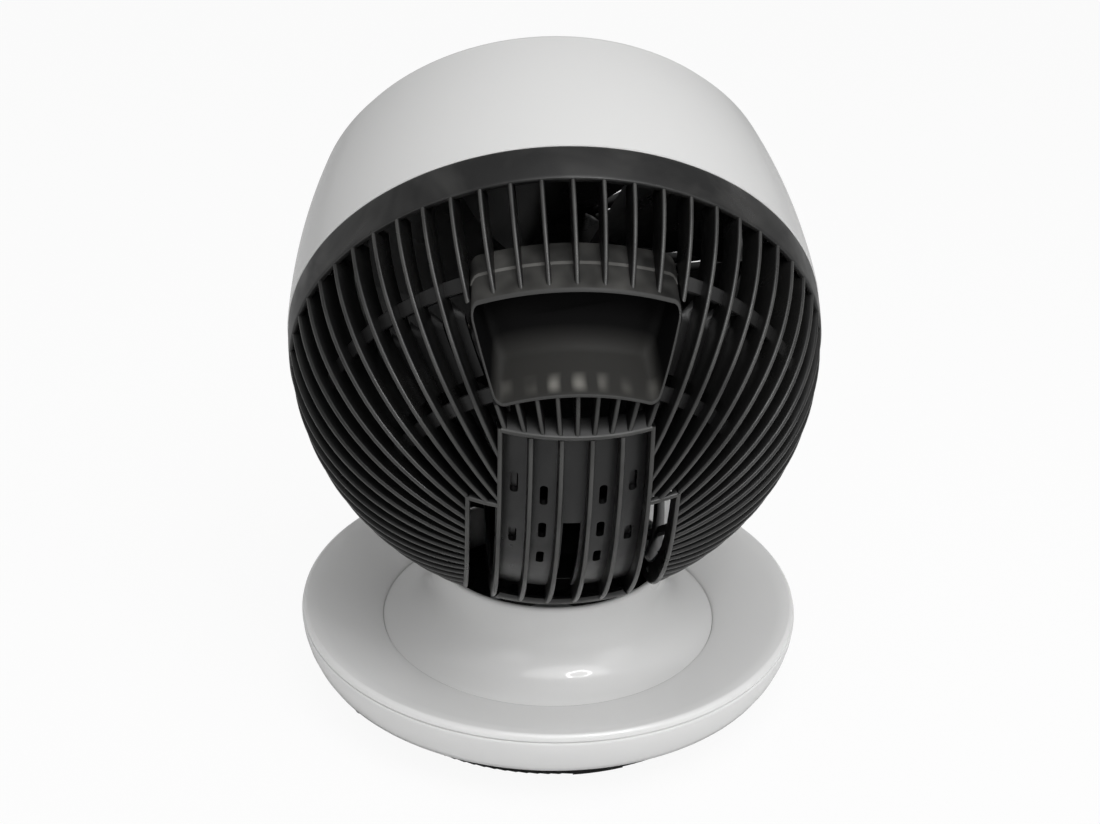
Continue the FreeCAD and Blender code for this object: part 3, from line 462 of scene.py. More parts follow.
def block(low, high, edge=0.0, segments=2):
    """Box between two corners, with rounded edges if an edge size is given."""
    bm = bmesh.new()
    size = [top - bottom for bottom, top in zip(low, high)]
    middle = [(top + bottom) / 2 for bottom, top in zip(low, high)]
    matrix = Matrix.Translation(middle) @ Matrix.Diagonal((*size, 1))
    bmesh.ops.create_cube(bm, size=1, matrix=matrix)
    return rounded(bm, bm.edges[:], edge, segments) if edge else bm


def finished(name, bm, body, slot, replaces=(), place=None, sharp=40, look=None):
    """Make the piece: seat it, scale it to metres, shade it and tie it to its body.

    It wears its slot's finish unless another look is given.
    """
    if place is not None:
        placed(bm, place)
    bmesh.ops.scale(bm, vec=(MM, MM, MM), verts=bm.verts)
    mesh = bpy.data.meshes.new(name)
    bm.to_mesh(mesh)
    bm.free()
    mesh.shade_smooth()
    mesh.set_sharp_from_angle(angle=math.radians(sharp))
    piece = bpy.data.objects.new(name, mesh)
    bpy.context.scene.collection.objects.link(piece)
    mesh.materials.append(look or FINISHES[slot])
    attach(piece, body)
    if replaces:
        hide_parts(*replaces)


def carved(bm, cutters):
    """Boolean cut of a bmesh by closed bmeshes, all in the same frame."""
    def as_object(shape, name):
        mesh = bpy.data.meshes.new(name)
        shape.to_mesh(mesh)
        shape.free()
        made = bpy.data.objects.new(name, mesh)
        bpy.context.scene.collection.objects.link(made)
        return made
    base = as_object(bm, "blank")
    tools = [as_object(cutter, "cutter") for cutter in cutters]
    for tool in tools:
        cut = base.modifiers.new("cut", "BOOLEAN")
        cut.operation = "DIFFERENCE"
        cut.object = tool
        cut.solver = "EXACT"
    done = bpy.data.meshes.new_from_object(base.evaluated_get(bpy.context.evaluated_depsgraph_get()))
    result = bmesh.new()
    result.from_mesh(done)
    for thing in [base, *tools]:
        mesh = thing.data
        bpy.data.objects.remove(thing)
        bpy.data.meshes.remove(mesh)
    bpy.data.meshes.remove(done)
    bmesh.ops.remove_doubles(result, verts=result.verts, dist=0.002)
    return result


def ball_drop(radius, across):
    return math.sqrt(radius * radius - across * across)


# ------------------------------------------------------------------ rear guard
def bar_angle(rho):
    """Angle from the top towards the rear at which the ball is rho from the blade axis."""
    return math.degrees(math.acos(rho / BALL))


BAR_ROOT = math.degrees(math.asin((RIM_WIDTH - 4.0) / BALL))
CUP_WALL = 1.2
FRAME_FOOT = BAR_INNER - 0.6     # where the ribs of the frames start inside the ball
WINDOW_FOOT = BALL - 3.0         # the same for the windows' upper ribs
FOOT_SECTION = (113.6, 115.3)    # radii of a bar's flange
FOOT_BALL = 114.5                # ball on which its ends are measured
FOOT_REACH = (0.6, 4.9)          # and how far it stands out from the bar's middle
FOOT_SPAN = (102.0, 82.5)        # distances from the blade axis between which it runs
POCKET_BARS = 25                 # bars less than this many degrees from the top meet the pocket


def guard_bar(turn):
    """One bar, ended at the frame it runs into."""
    signed = turn if turn <= 180 else turn - 360
    side = math.sin(math.radians(turn))
    up = math.cos(math.radians(turn))
    frame_x = PANEL_HALF + RIB / 2
    window_x = WINDOW_OUTER + RIB / 2
    section = blade_outline(BAR_INNER, BAR_CROWN, BAR_THICK / 2)

    def at_height(height):
        """Where the bar meets a rib across the ball, and the plane that ends it."""
        return height / up, ((0, height, 0), (0, -1, 0))

    def at_side(across):
        """Where the bar meets an upright frame, and the plane that ends it."""
        sign = math.copysign(1, side)
        return across / abs(side), ((sign * across, 0, 0), (-sign, 0, 0))

    if abs(side) < 1e-6 or frame_x / abs(side) * up > PANEL_TOP:
        end, plane = at_height(PANEL_TOP + RIB / 2)
    elif frame_x / abs(side) * up > WINDOW_TOP:
        end, plane = at_side(frame_x)
    elif window_x / abs(side) * up > WINDOW_TOP + RIB / 2:
        end, plane = at_height(WINDOW_TOP + RIB / 2)
    else:
        end, plane = at_side(window_x)
    if end > BALL - 4 or (up < 0 and end > 110):
        return []
    last = bar_angle(max(end - 5, 1))
    spans = [(BAR_ROOT, last)]
    top_wall = POCKET_OUT + CUP_WALL / 2
    low_wall = POCKET_IN - CUP_WALL / 2
    if abs(signed) < POCKET_BARS:
        spans = [(BAR_ROOT, bar_angle(top_wall - 2)), (bar_angle(low_wall + 8), last)]
    bars = []
    for start, stop in spans:
        steps = max(3, round((stop - start) / 2.6))
        bar = placed(along_ball(section, start, stop, steps), about_z(turn))
        if stop == last:
            bar = trimmed(bar, *plane)
        if stop != last:
            bar = trimmed(bar, (top_wall * side, top_wall * up, 0), (-side, -up, 0))
        elif start != BAR_ROOT:
            bar = trimmed(bar, (low_wall * side, low_wall * up, 0), (side, up, 0))
        bars.append(bar)
    return bars


def guard_foot(turn):
    """Flange along the inner edge of a bar between the hoops, on the side towards the middle."""
    side = -1 if math.sin(math.radians(turn)) > 0 else 1
    near, far = sorted(side * reach for reach in FOOT_REACH)
    low, high = FOOT_SECTION
    section = [(near, low), (near, high), (far, high), (far, low)]
    first, last = (math.degrees(math.acos(rho / FOOT_BALL)) for rho in FOOT_SPAN)
    foot = along_ball(section, first, last, 9)
    lean = Vector((side * 0.75, 1.0, 0.0)).normalized()
    foot = trimmed(foot, (side * FOOT_REACH[0], FOOT_SPAN[0] - 1.0, 0), lean)
    return placed(foot, about_z(turn))


def guard_hoop(rho, start, stop):
    """Band through the bars, lying along the ball, between two angles from the top."""
    middle = math.degrees(math.asin(rho / HOOP_TOP))
    half = math.degrees(3.5 / BALL)
    ease = math.degrees(0.45 / BALL)
    low, high = HOOP_TOP - 2.2, HOOP_TOP
    rows = [(high, middle - half + ease), (high, middle + half - ease), (high - 0.45, middle + half),
            (low, middle + half), (low, middle - half), (high - 0.45, middle - half)]
    profile = [(radius * math.sin(math.radians(at)), -radius * math.cos(math.radians(at)))
               for radius, at in rows]
    steps = max(4, round((stop - start) / 1.5))
    return turned(profile, steps, -math.radians(stop - start), math.radians(90 - start))


def guard_rim():
    """Plain band ahead of the bars, with the spigot that enters the casing."""
    def on_ball(radius, height):
        return (ball_drop(radius, height), height)
    skin = [on_ball(BALL, -height) for height in (1.0, 4.0, 7.0, 10.0, 13.0, 15.5, 16.5)]
    inner = [on_ball(BALL - 2.6, -height) for height in (16.6, 13.0, 10.0, 7.0, 4.0, 2.2)]
    edge = [(123.75, -16.95), (123.45, -17.22), (123.0, -17.3), (122.0, -17.3), (121.5, -17.15)]
    profile = [(124.4, 0.25), (124.8, 0.1), (124.97, -0.35)] + skin + edge + inner
    profile += [(120.4, -2.0), (120.4, 4.5), (122.4, 4.5), (122.6, 4.2), (122.6, 0.25)]
    return turned(profile, 288)


def side_frame(across, top, steps):
    """Upright frame of the panel or of a window, from its top down to the band."""
    drop = BALL - ball_drop(BALL, across)
    section = blade_outline(FRAME_FOOT - drop, BALL - drop, RIB / 2)
    first = math.degrees(math.acos((top + RIB) / (BALL - drop)))
    last = 180 - math.degrees(math.asin(RIM_WIDTH / (BALL - drop)))
    return along_ball(section, first, last, steps, across)


def cross_frame(height, x0, x1, foot=FRAME_FOOT):
    """Rib across the ball at one height, between two places across."""
    drop = BALL - ball_drop(BALL, height)
    section = [(height + y, radius - drop) for y, radius in blade_outline(foot, BALL, RIB / 2)]
    points = [(0, y, -radius) for y, radius in section]
    reach = BALL - drop
    start = math.asin(x0 / reach)
    stop = math.asin(x1 / reach)
    steps = max(3, round(math.degrees(stop - start) / 2.5))
    return swept(points, Vector((0, 1, 0)), start - stop, steps, -start)


def guard_skirt():
    """Smooth patch of the ball under the panel, from its sill down to the band."""
    half = PANEL_HALF + RIB / 2
    outer = [(x, ball_drop(BALL - 0.15, x)) for x in [half * (index / 8 - 1) for index in range(17)]]
    inner = [(x, ball_drop(BALL - 2.6, x)) for x, _ in reversed(outer)]
    points = [(x, radius, 0) for x, radius in outer + inner]
    first = 177 - math.degrees(math.asin(SKIRT_BACK / BALL))
    last = 180 - math.degrees(math.asin(RIM_WIDTH / BALL)) + 0.6
    patch = swept(points, Vector((1, 0, 0)), -math.radians(last - first), 42, -math.radians(first))
    return trimmed(patch, (0, 0, RIB / 2 - SKIRT_BACK), (0, 0, -1))


def skirt_sill():
    """Rounded rib along the skirt's upper edge."""
    half = PANEL_HALF + RIB / 2
    back = SKIRT_BACK - RIB / 2
    reach = ball_drop(BALL, back)
    rows = blade_outline(BALL - 2.7, BALL, RIB / 2)
    points = [(0, -(ball_drop(radius, back)), -back + across) for across, radius in rows]
    start = math.asin(half / reach)
    return swept(points, Vector((0, 0, 1)), 2 * start, 24, -start)


def make_guard():
    turns = [index * 360 / BAR_COUNT for index in range(BAR_COUNT)]
    bars = [bar for turn in turns for bar in guard_bar(turn)]
    bars += [guard_foot(turn) for turn in turns if 27 < turn < 146 or 214 < turn < 333]
    finished("guard_bars", joined(*bars), "head", "black_plastic", ["rear_grille"], SEAT_HEAD, 50,
             GUARD_BLACK)
    hoops = []
    for rho in HOOPS:
        low = 180 - math.degrees(math.asin((WINDOW_OUTER + RIB / 2) / rho))
        hoops += [guard_hoop(rho, 24.6, low), guard_hoop(rho, 360 - low, 360 - 24.6)]
    finished("guard_hoops", joined(*hoops), "head", "black_plastic", ["rear_grille"], SEAT_HEAD)
    # The band's cloudy patches carry a strong painted sheen: patch 9 lifts their base colour to nine times
    # the tone.
    finished("guard_band", joined(guard_rim(), guard_skirt()), "head", "black_plastic", ["rear_grille"],
             SEAT_HEAD, look=moulded_black("black band", 0.003, 0.40, 1.0, 9.0))
    frames = [side_frame(side * (PANEL_HALF + RIB / 2), PANEL_TOP, 60) for side in (1, -1)]
    frames += [side_frame(side * (WINDOW_OUTER + RIB / 2), WINDOW_TOP, 48) for side in (1, -1)]
    frames += [cross_frame(PANEL_TOP + RIB / 2, -PANEL_HALF - 1, PANEL_HALF + 1),
               cross_frame(WINDOW_TOP + RIB / 2, PANEL_HALF + 1, WINDOW_OUTER + 1, WINDOW_FOOT),
               cross_frame(WINDOW_TOP + RIB / 2, -WINDOW_OUTER - 1, -PANEL_HALF - 1, WINDOW_FOOT),
               skirt_sill()]
    finished("guard_frames", joined(*frames), "head", "black_plastic", ["rear_grille"], SEAT_HEAD,
             look=GUARD_BLACK)


# ------------------------------------------------------------------ finger pocket
def pocket_loop(offset, zone_radius, zone_centre=0.0, corner=6.0):
    """Outline of the pocket, grown by an offset, laid on a ball about a point of the axis."""
    out, inn = POCKET_OUT + offset, POCKET_IN - offset
    bend = max(corner + offset, 0.4)
    points = []

    def side_turn(rho, inset):
        return POCKET_HALF + math.asin((offset - inset) / rho)

    def add(rho, turn):
        points.append((rho * math.sin(turn), rho * math.cos(turn)))

    top_centre = (out - bend, side_turn(out - bend, bend))
    low_centre = (inn + bend, side_turn(inn + bend, bend))
    for index in range(-14, 15):
        add(out, top_centre[1] * index / 14)
    for index in range(1, 6):
        around(points, top_centre, bend, 90 - 18 * index, 1)
    for index in range(1, 7):
        share = index / 7
        rho = (out - bend) * (1 - share) + (inn + bend) * share
        add(rho, side_turn(rho, 0))
    for index in range(0, 5):
        around(points, low_centre, bend, -18 * index, 1)
    for index in range(-14, 15):
        add(inn, -low_centre[1] * index / 14)
    for index in range(1, 6):
        around(points, low_centre, bend, 90 - 18 * index, -1, -1)
    for index in range(1, 7):
        share = index / 7
        rho = (inn + bend) * (1 - share) + (out - bend) * share
        add(rho, -side_turn(rho, 0))
    for index in range(0, 5):
        around(points, top_centre, bend, 18 * index, -1)
    return [(x, y, zone_centre - ball_drop(zone_radius, math.hypot(x, y))) for x, y in points]


def around(points, centre, bend, degrees, side, flip=1):
    """Add a point of a corner's round; degrees from the side wall (0) to the end wall (90)."""
    rho, turn = centre
    along = (math.cos(turn), -math.sin(turn))
    up = (math.sin(turn), math.cos(turn))
    angle = math.radians(degrees)
    across, rise = bend * math.cos(angle), bend * math.sin(angle) * flip
    x = rho * up[0] + across * along[0] + rise * up[0]
    y = rho * up[1] + across * along[1] + rise * up[1]
    points.append((side * x, y))


def lofted(loops, cap_first=False, cap_last=False):
    """Skin through closed loops of the same number of points."""
    bm = bmesh.new()
    rings = []
    for loop in loops:
        verts = [bm.verts.new(point) for point in loop]
        rings.append([bm.edges.new((verts[index - 1], verts[index])) for index in range(len(verts))])
    for first, second in zip(rings, rings[1:]):
        bmesh.ops.bridge_loops(bm, edges=first + second)
    for wanted, ring in ((cap_first, rings[0]), (cap_last, rings[-1])):
        if wanted:
            bmesh.ops.holes_fill(bm, edges=ring, sides=0)
    bmesh.ops.recalc_face_normals(bm, faces=bm.faces)
    return bm


def make_pocket():
    """Cup with a thin lip; its outside has a small ledge halfway down."""
    back = POCKET_DEPTH
    deep = back + 1.6
    inset, ease = 1.2, 4.5
    # growth, ball radius, depth under it and corner of each loop: the outside from the back to
    # the ledge, the lip, and the inside down to where its back wall starts to round
    rows = [(-0.9, BALL, deep, 4.0), (0.4, BALL, deep - 0.4, 4.0), (1.2, BALL, deep - 1.3, 4.0),
            (1.6, BALL, deep - 2.6, 4.0), (1.6, BALL, 12.2, 4.0), (1.5, BALL, 12.05, 4.0),
            (CUP_WALL, BALL, 12.0, 4.0), (CUP_WALL, BALL - 0.8, 0.0, 3.0),
            (CUP_WALL + 0.05, BALL - 0.1, 0.0, 3.0), (CUP_WALL - 0.2, BALL + 0.35, 0.0, 3.0),
            (CUP_WALL / 2, BALL + 0.5, 0.0, 3.0), (0.2, BALL + 0.35, 0.0, 3.0),
            (0.0, BALL - 0.1, 0.0, 3.0), (-0.1, BALL, 1.5, 3.2), (-0.7, BALL, 12.0, 4.0),
            (-inset, BALL, back - ease, 5.5)]
    for share in range(1, 7):
        angle = math.radians(90 * share / 6)
        growth = -inset - ease * (1 - math.cos(angle))
        rows.append((growth, BALL, back - ease + ease * math.sin(angle), 6.2))
    shell = lofted([pocket_loop(*row) for row in rows])
    floor = [(-inset - ease, BALL, back, 6.2), (-8.0, BALL, back, 11.5), (-11.0, BALL, back, 11.5)]
    floor = lofted([pocket_loop(*row) for row in floor], cap_last=True)
    outer_back = [(-0.9, BALL, deep, 4.0), (-8.0, BALL, deep, 9.0)]
    outer_back = lofted([pocket_loop(*row) for row in outer_back], cap_last=True)
    cup = joined(shell, floor, outer_back)
    bmesh.ops.remove_doubles(cup, verts=cup.verts, dist=0.01)
    bmesh.ops.recalc_face_normals(cup, faces=cup.faces)
    finished("finger_cup", cup, "head", "black_plastic", ["handle_pocket"], SEAT_HEAD, 50,
             cup_black("black pocket"))


# ------------------------------------------------------------------ rear panel
RIB_PITCH = 12.45
VENTS = ((1, (27.9, 7.6, -13.3)), (2, (33.0, 2.5)))


def vent_cutter(x, low, width=3.4, height=9.8):
    """Round-ended slot through the panel."""
    cutter = block((x - width / 2, low, -BALL - 5), (x + width / 2, low + height, -80))
    return rounded(cutter, edges_along(cutter, 2), width * 0.42, 5)


def make_panel():
    """Curved plate with its slots, and four ribs that follow the bars."""
    half = PANEL_HALF - 0.2
    xs = [half * (index / 6 - 1) for index in range(13)]
    outer = [(x, ball_drop(PANEL_BALL, x)) for x in xs]
    inner = [(x, ball_drop(PANEL_BALL - 2.5, x)) for x in reversed(xs)]
    first = math.degrees(math.acos((PANEL_TOP - 0.2) / PANEL_BALL))
    last = math.degrees(math.acos(PANEL_BOTTOM / PANEL_BALL))
    points = [(x, radius, 0) for x, radius in outer + inner]
    plate = swept(points, Vector((1, 0, 0)), -math.radians(last - first), 60, -math.radians(first))
    cutters = [block((-3.8, -80, -BALL), (3.8, 17.7, -60))]
    for column, lows in VENTS:
        for low in lows:
            cutters += [vent_cutter(side * column * RIB_PITCH, low) for side in (-1, 1)]
    plate = carved(plate, [joined(*cutters)])
    ribs = []
    for column in (-1.5, -0.5, 0.5, 1.5):
        across = column * RIB_PITCH
        drop = BALL - ball_drop(BALL, across)
        section = blade_outline(PANEL_BALL - 1.5 - drop, BALL - 0.1 - drop, RIB / 2)
        top = math.degrees(math.acos((PANEL_TOP + 0.6) / (BALL - drop)))
        low = 180 - math.degrees(math.asin((SKIRT_BACK + 0.2) / (BALL - drop)))
        ribs.append(along_ball(section, top, low, 60, across))
    finished("rear_panel_plate", joined(plate, *ribs), "head", "black_plastic", ["rear_panel"], SEAT_HEAD,
             look=GUARD_BLACK)


# ------------------------------------------------------------------ white casing
LIP = 2.6
BOSS_RING = 118.1


def casing_radius(height, inset=0.0):
    """Radius of the casing's curve through its rear, middle and front."""
    middle = HOUSING_FRONT + 0.725 * (HOUSING_REAR - HOUSING_FRONT)
    share = height / HOUSING_DEPTH
    sag = 4 * (middle - (HOUSING_REAR + HOUSING_FRONT) / 2)
    return HOUSING_REAR + (HOUSING_FRONT - HOUSING_REAR) * share + sag * share * (1 - share) - inset


def make_casing():
    """White casing with its rolled mouth, two window slots and four screw bosses."""
    lip = HOUSING_DEPTH + LIP
    heights = [HOUSING_DEPTH * index / 20 for index in range(20)]
    skin = [(casing_radius(0) - 0.35, 0.0), (casing_radius(0.3), 0.35)]
    skin += [(casing_radius(height), height) for height in heights[1:]]
    roll = arc(6.0, -6, 88, 12, (HOUSING_FRONT - 6.2, lip - 6.0))
    mouth = [(MOUTH + 1.4, lip - 0.6), (MOUTH + 0.4, lip - 1.4), (MOUTH, lip - 2.4),
             (MOUTH, 76.0), (MOUTH + HOUSING_WALL, 76.0), (MOUTH + HOUSING_WALL, HOUSING_DEPTH - 1.6),
             (HOUSING_FRONT - HOUSING_WALL - 0.6, HOUSING_DEPTH - 0.4)]
    inner = [(casing_radius(height, HOUSING_WALL), height) for height in reversed(heights)]
    shell = turned(skin + roll + mouth + inner, 320)
    slots = []
    for side in (-1, 1):
        xs = sorted((side * (PANEL_HALF + RIB), side * WINDOW_OUTER))
        slot = block((xs[0], -BALL - 10, -5), (xs[1], 0, 17))
        slots.append(rounded(slot, edges_along(slot, 1), 2.0, 4))
    shell = carved(shell, slots)
    bosses = []
    for index in range(4):
        seat = about_z(45 + 90 * index) @ Matrix.Translation((0, BOSS_RING, 0))
        bosses.append(placed(turned([(1.6, 6), (5.0, 6), (5.2, 6.2), (5.2, 22), (1.6, 22)], 32), seat))
    finished("front_casing", joined(shell, *bosses), "head", "white_shell", ["front_housing"], SEAT_HEAD)


# ------------------------------------------------------------------ base
def make_base():
    """White cover: inset foot, side wall, groove, rounded shoulder and the sloping dish."""
    wall = [(117.6, 18.0), (118.3, 17.6), (119.4, 18.2)]
    side = [(121.6, 22.0), (123.6, 27.0), (124.8, 32.0), (125.2, 36.0), (125.2, 37.2)]
    groove = [(125.0, 37.5), (124.1, 37.65), (124.1, 38.25), (124.95, 38.45)]
    shoulder = arc(2.7, 2, 84, 9, (122.1, 38.6))
    dish = [(116.0, 39.2), (104.0, 35.2), (92.0, 31.4), (89.0, 30.4), (87.0, 29.6), (85.6, 29.0),
            (84.9, 28.5), (84.6, 27.8)]
    well = [(84.6, 21.0), (87.0, 21.0), (87.0, 26.6), (88.4, 28.0), (104.0, 32.6), (118.0, 36.4),
            (121.6, 33.0), (119.4, 24.0), (115.4, 18.2)]
    shape = carved(turned(wall + side + groove + shoulder + dish + well, 320), [panel_recess()])
    finished("base_shell", shape, "base", "white_shell", ["base_cover"], look=BASE_WHITE_PAINTED_LIGHTER)


COLLAR_TOP = 66.0
COLLAR_GAP = 1.6
KNEE = 50.0           # the pedestal keeps its shape below this height


def collar_top(x, y):
    """Height that the collar may reach under the head, level or tilted."""
    if y >= 0:
        room = BALL
    else:
        share = -y / HOUSING_DEPTH
        room = HOUSING_REAR + (HOUSING_FRONT - HOUSING_REAR) * share + 0.9 * 13 * share * (1 - share)
    reach = math.hypot(x, y) if y >= 0 else abs(x)
    return min(COLLAR_TOP, PIVOT_HEIGHT - math.sqrt((room + COLLAR_GAP) ** 2 - reach ** 2))


def make_pedestal():
    """Turning pedestal: flare out of the dish, and a collar that follows the ball's underside."""
    flare = arc(24.3, 268, 184, 16, (84.3, 51.9))
    outer = [(84.45, 19.6), (84.45, 27.6)] + flare[1:]
    neck = [(60.0, 52.0), (60.0, 56.0), (60.0, 60.0), (60.0, 63.6), (59.8, 64.8), (59.3, 65.6), (58.6, 66.0),
            (58.0, 65.9), (57.7, 65.4), (57.6, 64.4), (57.6, 60.0), (57.6, 52.0)]
    inner = arc(26.7, 184, 262, 12, (84.3, 51.3))
    inner = [(radius, height) for radius, height in inner if radius < 81]
    profile = outer + neck + inner + [(81.5, 24.6), (81.9, 19.6)]
    shell = turned(profile, 320)
    for vert in shell.verts:
        if vert.co.z > KNEE:
            top = collar_top(vert.co.x, vert.co.y)
            vert.co.z = KNEE + (vert.co.z - KNEE) * (top - KNEE) / (COLLAR_TOP - KNEE)
    finished("pedestal_shell", shell, "turret", "white_shell", ["pedestal"], look=BASE_WHITE_PAINTED_LIGHTER)


# ------------------------------------------------------------------ front grille
GRILLE_REAR = 74.6
GRILLE_FRONT = 81.5
GRILLE_HUB = 25.0
GRILLE_RIM = MOUTH - 0.3
GRILLE_RING = MOUTH / 2
VANE_PAIRS = 24
VANE_THICK = 2.0
VANE_SWEEP = math.radians(34.0)


def vane_path(inner, outer, steps):
    """Arc through the swept line's ends and its middle, as (x, y, heading) along the vane."""
    def on_sweep(radius):
        turn = VANE_SWEEP * (radius - GRILLE_HUB) / (MOUTH - GRILLE_HUB)
        return complex(radius * math.sin(turn) + VANE_THICK / 2, radius * math.cos(turn))
    first, middle, last = on_sweep(inner), on_sweep((inner + outer) / 2), on_sweep(outer)
    lean = (last - first) / (middle - first)
    centre = first + (middle - first) * (lean - abs(lean) ** 2) / (lean - lean.conjugate())
    path = []
    for index in range(steps + 1):
        share = index / steps
        turned_by = ((last - centre) / (first - centre)) ** share
        point = centre + (first - centre) * turned_by
        along = (point - centre) * (1j if ((last - first) / (1j * (first - centre))).real > 0 else -1j)
        path.append((point, along / abs(along)))
    return path


def grille_vane(inner, outer, steps):
    """Upright vane with a rounded front edge."""
    half = VANE_THICK / 2 * 0.92
    crown = arc(half, 0, 180, 6, (0, GRILLE_FRONT - 0.05 - half))
    section = crown + [(-half, GRILLE_REAR + 0.3), (-half + 0.3, GRILLE_REAR), (half - 0.3, GRILLE_REAR),
                       (half, GRILLE_REAR + 0.3)]
    loops = []
    for point, along in vane_path(inner, outer, steps):
        side = along * -1j
        loops.append([((point + side * across).real, (point + side * across).imag, height)
                      for across, height in section])
    return lofted(loops, True, True)


def grille_ring(middle, wide, front):
    """Ring with rounded front and rear edges."""
    half = wide / 2
    ease = min(half, 1.0)
    front_edge = arc(ease, 0, 90, 3, (middle + half - ease, front - ease))
    front_edge += arc(ease, 90, 180, 3, (middle - half + ease, front - ease))
    return turned(front_edge + [(middle - half, GRILLE_REAR + 0.2), (middle - half + 0.2, GRILLE_REAR),
                                (middle + half - 0.2, GRILLE_REAR), (middle + half, GRILLE_REAR + 0.2)], 240)


def make_grille():
    """Long and short swept vanes between the rings, and a plate behind the hub."""
    plate_r = GRILLE_HUB - 2.4
    plate = [(0, GRILLE_REAR), (plate_r, GRILLE_REAR), (plate_r, GRILLE_REAR + 1.6), (0, GRILLE_REAR + 1.6)]
    between_rings = (GRILLE_RING + GRILLE_RIM) / 2
    shapes = [grille_ring(GRILLE_RIM - 1.7, 3.4, GRILLE_FRONT),
              grille_ring(GRILLE_RING, 2.0, GRILLE_FRONT - 1),
              grille_ring(between_rings, 2.0, GRILLE_FRONT - 1),
              grille_ring(GRILLE_HUB - 1.7, 3.4, GRILLE_FRONT),
              turned(plate, 96)]
    step = 360.0 / VANE_PAIRS
    for index in range(VANE_PAIRS):
        shapes.append(placed(grille_vane(GRILLE_HUB - 1, GRILLE_RIM - 1, 16), about_z(-step * index)))
        shapes.append(placed(grille_vane(GRILLE_RING, GRILLE_RIM - 1, 11), about_z(-step * (index + 0.5))))
    finished("front_vanes", joined(*shapes), "head", "black_plastic", ["front_grille"], SEAT_HEAD, 50)


CAP_R = 21.4
CAP_FRONT = 83.1
CAP_REAR = 78.1
CAP_BOW = 150.0


def make_cap():
    """Domed cap over the hub."""
    def height(radius):
        return CAP_FRONT - CAP_BOW + ball_drop(CAP_BOW, radius)

    dome = [(CAP_R * index / 12, height(CAP_R * index / 12)) for index in range(12)]
    top = height(CAP_R)
    edge = [(CAP_R - 0.5, top), (CAP_R - 0.15, top - 0.12), (CAP_R, top - 0.5)]
    cap = turned(dome + edge + [(CAP_R, CAP_REAR), (0, CAP_REAR)], 120)
    finished("hub_cap", cap, "head", "black_plastic", ["front_cap"], SEAT_HEAD)


# ------------------------------------------------------------------ yoke
ARM_INNER = 33.5
ARM_OUTER = 40.5
ARM_FOOT = 24.6


def make_arm(side):
    """Tapered arm with rounded edges, a round boss at the tilt axis and a screwed foot."""
    plate = bmesh.new()
    rows = ((-14.0, ARM_FOOT), (14.0, ARM_FOOT), (10.5, PIVOT_HEIGHT), (-10.5, PIVOT_HEIGHT))
    face = plate.faces.new([plate.verts.new((ARM_INNER, y, z)) for y, z in rows])
    bmesh.ops.solidify(plate, geom=[face], thickness=ARM_INNER - ARM_OUTER)
    bmesh.ops.recalc_face_normals(plate, faces=plate.faces)
    low = min(vert.co.x for vert in plate.verts)
    if low < ARM_INNER - 0.1:
        bmesh.ops.translate(plate, vec=(ARM_OUTER - ARM_INNER, 0, 0), verts=plate.verts)
    rounded(plate, plate.edges[:], 1.3, 4)
    ring = [(7.05, ARM_INNER), (12.4, ARM_INNER), (13.0, ARM_INNER + 0.6), (13.0, ARM_OUTER - 1.2),
            (12.6, ARM_OUTER - 0.4), (11.8, ARM_OUTER), (7.4, ARM_OUTER), (7.05, ARM_OUTER - 0.3)]
    to_x = Matrix.Translation((0, 0, PIVOT_HEIGHT)) @ Matrix.Rotation(math.radians(90), 4, "Y")
    bore = placed(turned([(0, 0), (7.05, 0), (7.05, 60), (0, 60)], 64), to_x)
    plate = carved(plate, [bore])
    boss = placed(turned(ring, 96), to_x)
    foot = block((ARM_INNER - 15.0, -14.0, ARM_FOOT), (ARM_INNER + 1.0, 14.0, ARM_FOOT + 4.0), 0.8, 3)
    holes = [placed(turned([(0, 20), (1.8, 20), (1.8, 32), (0, 32)], 32), Matrix.Translation((26.0, y, 0)))
             for y in (-8.0, 8.0)]
    foot = carved(foot, [joined(*holes)])
    arm = joined(plate, boss, foot)
    name = "left" if side < 0 else "right"
    if side < 0:
        placed(arm, Matrix.Diagonal((-1, 1, 1, 1)))
        bmesh.ops.reverse_faces(arm, faces=arm.faces)
    finished("arm_" + name, arm, "turret", "black_plastic", ["yoke_arm_" + name])


# ------------------------------------------------------------------ impeller
BLADES = 7
BLADE_MIDDLE = 39.5
# radius, chord, pitch in degrees, camber and lead of the blade's sections
BLADE_ROWS = ((31.4, 42, 40, 3.0, 0.0), (38, 52, 36, 3.8, 1.6), (48, 67, 31, 4.9, 3.8),
              (60, 84, 26, 6.0, 6.0), (71, 99, 21, 6.7, 8.6), (82, 112, 16.5, 7.4, 11.2),
              (89, 117, 14, 7.8, 12.8), (93, 116, 13, 8.0, 14.0))
BLADE_TURN = 2.0      # degrees from the top to the first blade's middle


def blade_loop(radius, chord, pitch, camber, lead):
    """Cambered section wrapped round the axis, thin at both edges."""
    angle = math.radians(pitch)
    steps = 12
    points = []
    for way, rows in ((1, range(steps + 1)), (-1, range(steps - 1, 0, -1))):
        for index in rows:
            share = 2 * index / steps - 1
            along = share * chord / 2
            bulge = 1 - share * share
            off = camber * bulge + way * (0.25 + 1.05 * math.sqrt(bulge)) * (0 < index < steps)
            across = lead + along * math.cos(angle) - off * math.sin(angle)
            turn = -across / radius
            height = BLADE_MIDDLE + along * math.sin(angle) + off * math.cos(angle)
            points.append((radius * math.sin(turn), radius * math.cos(turn), height))
    return points


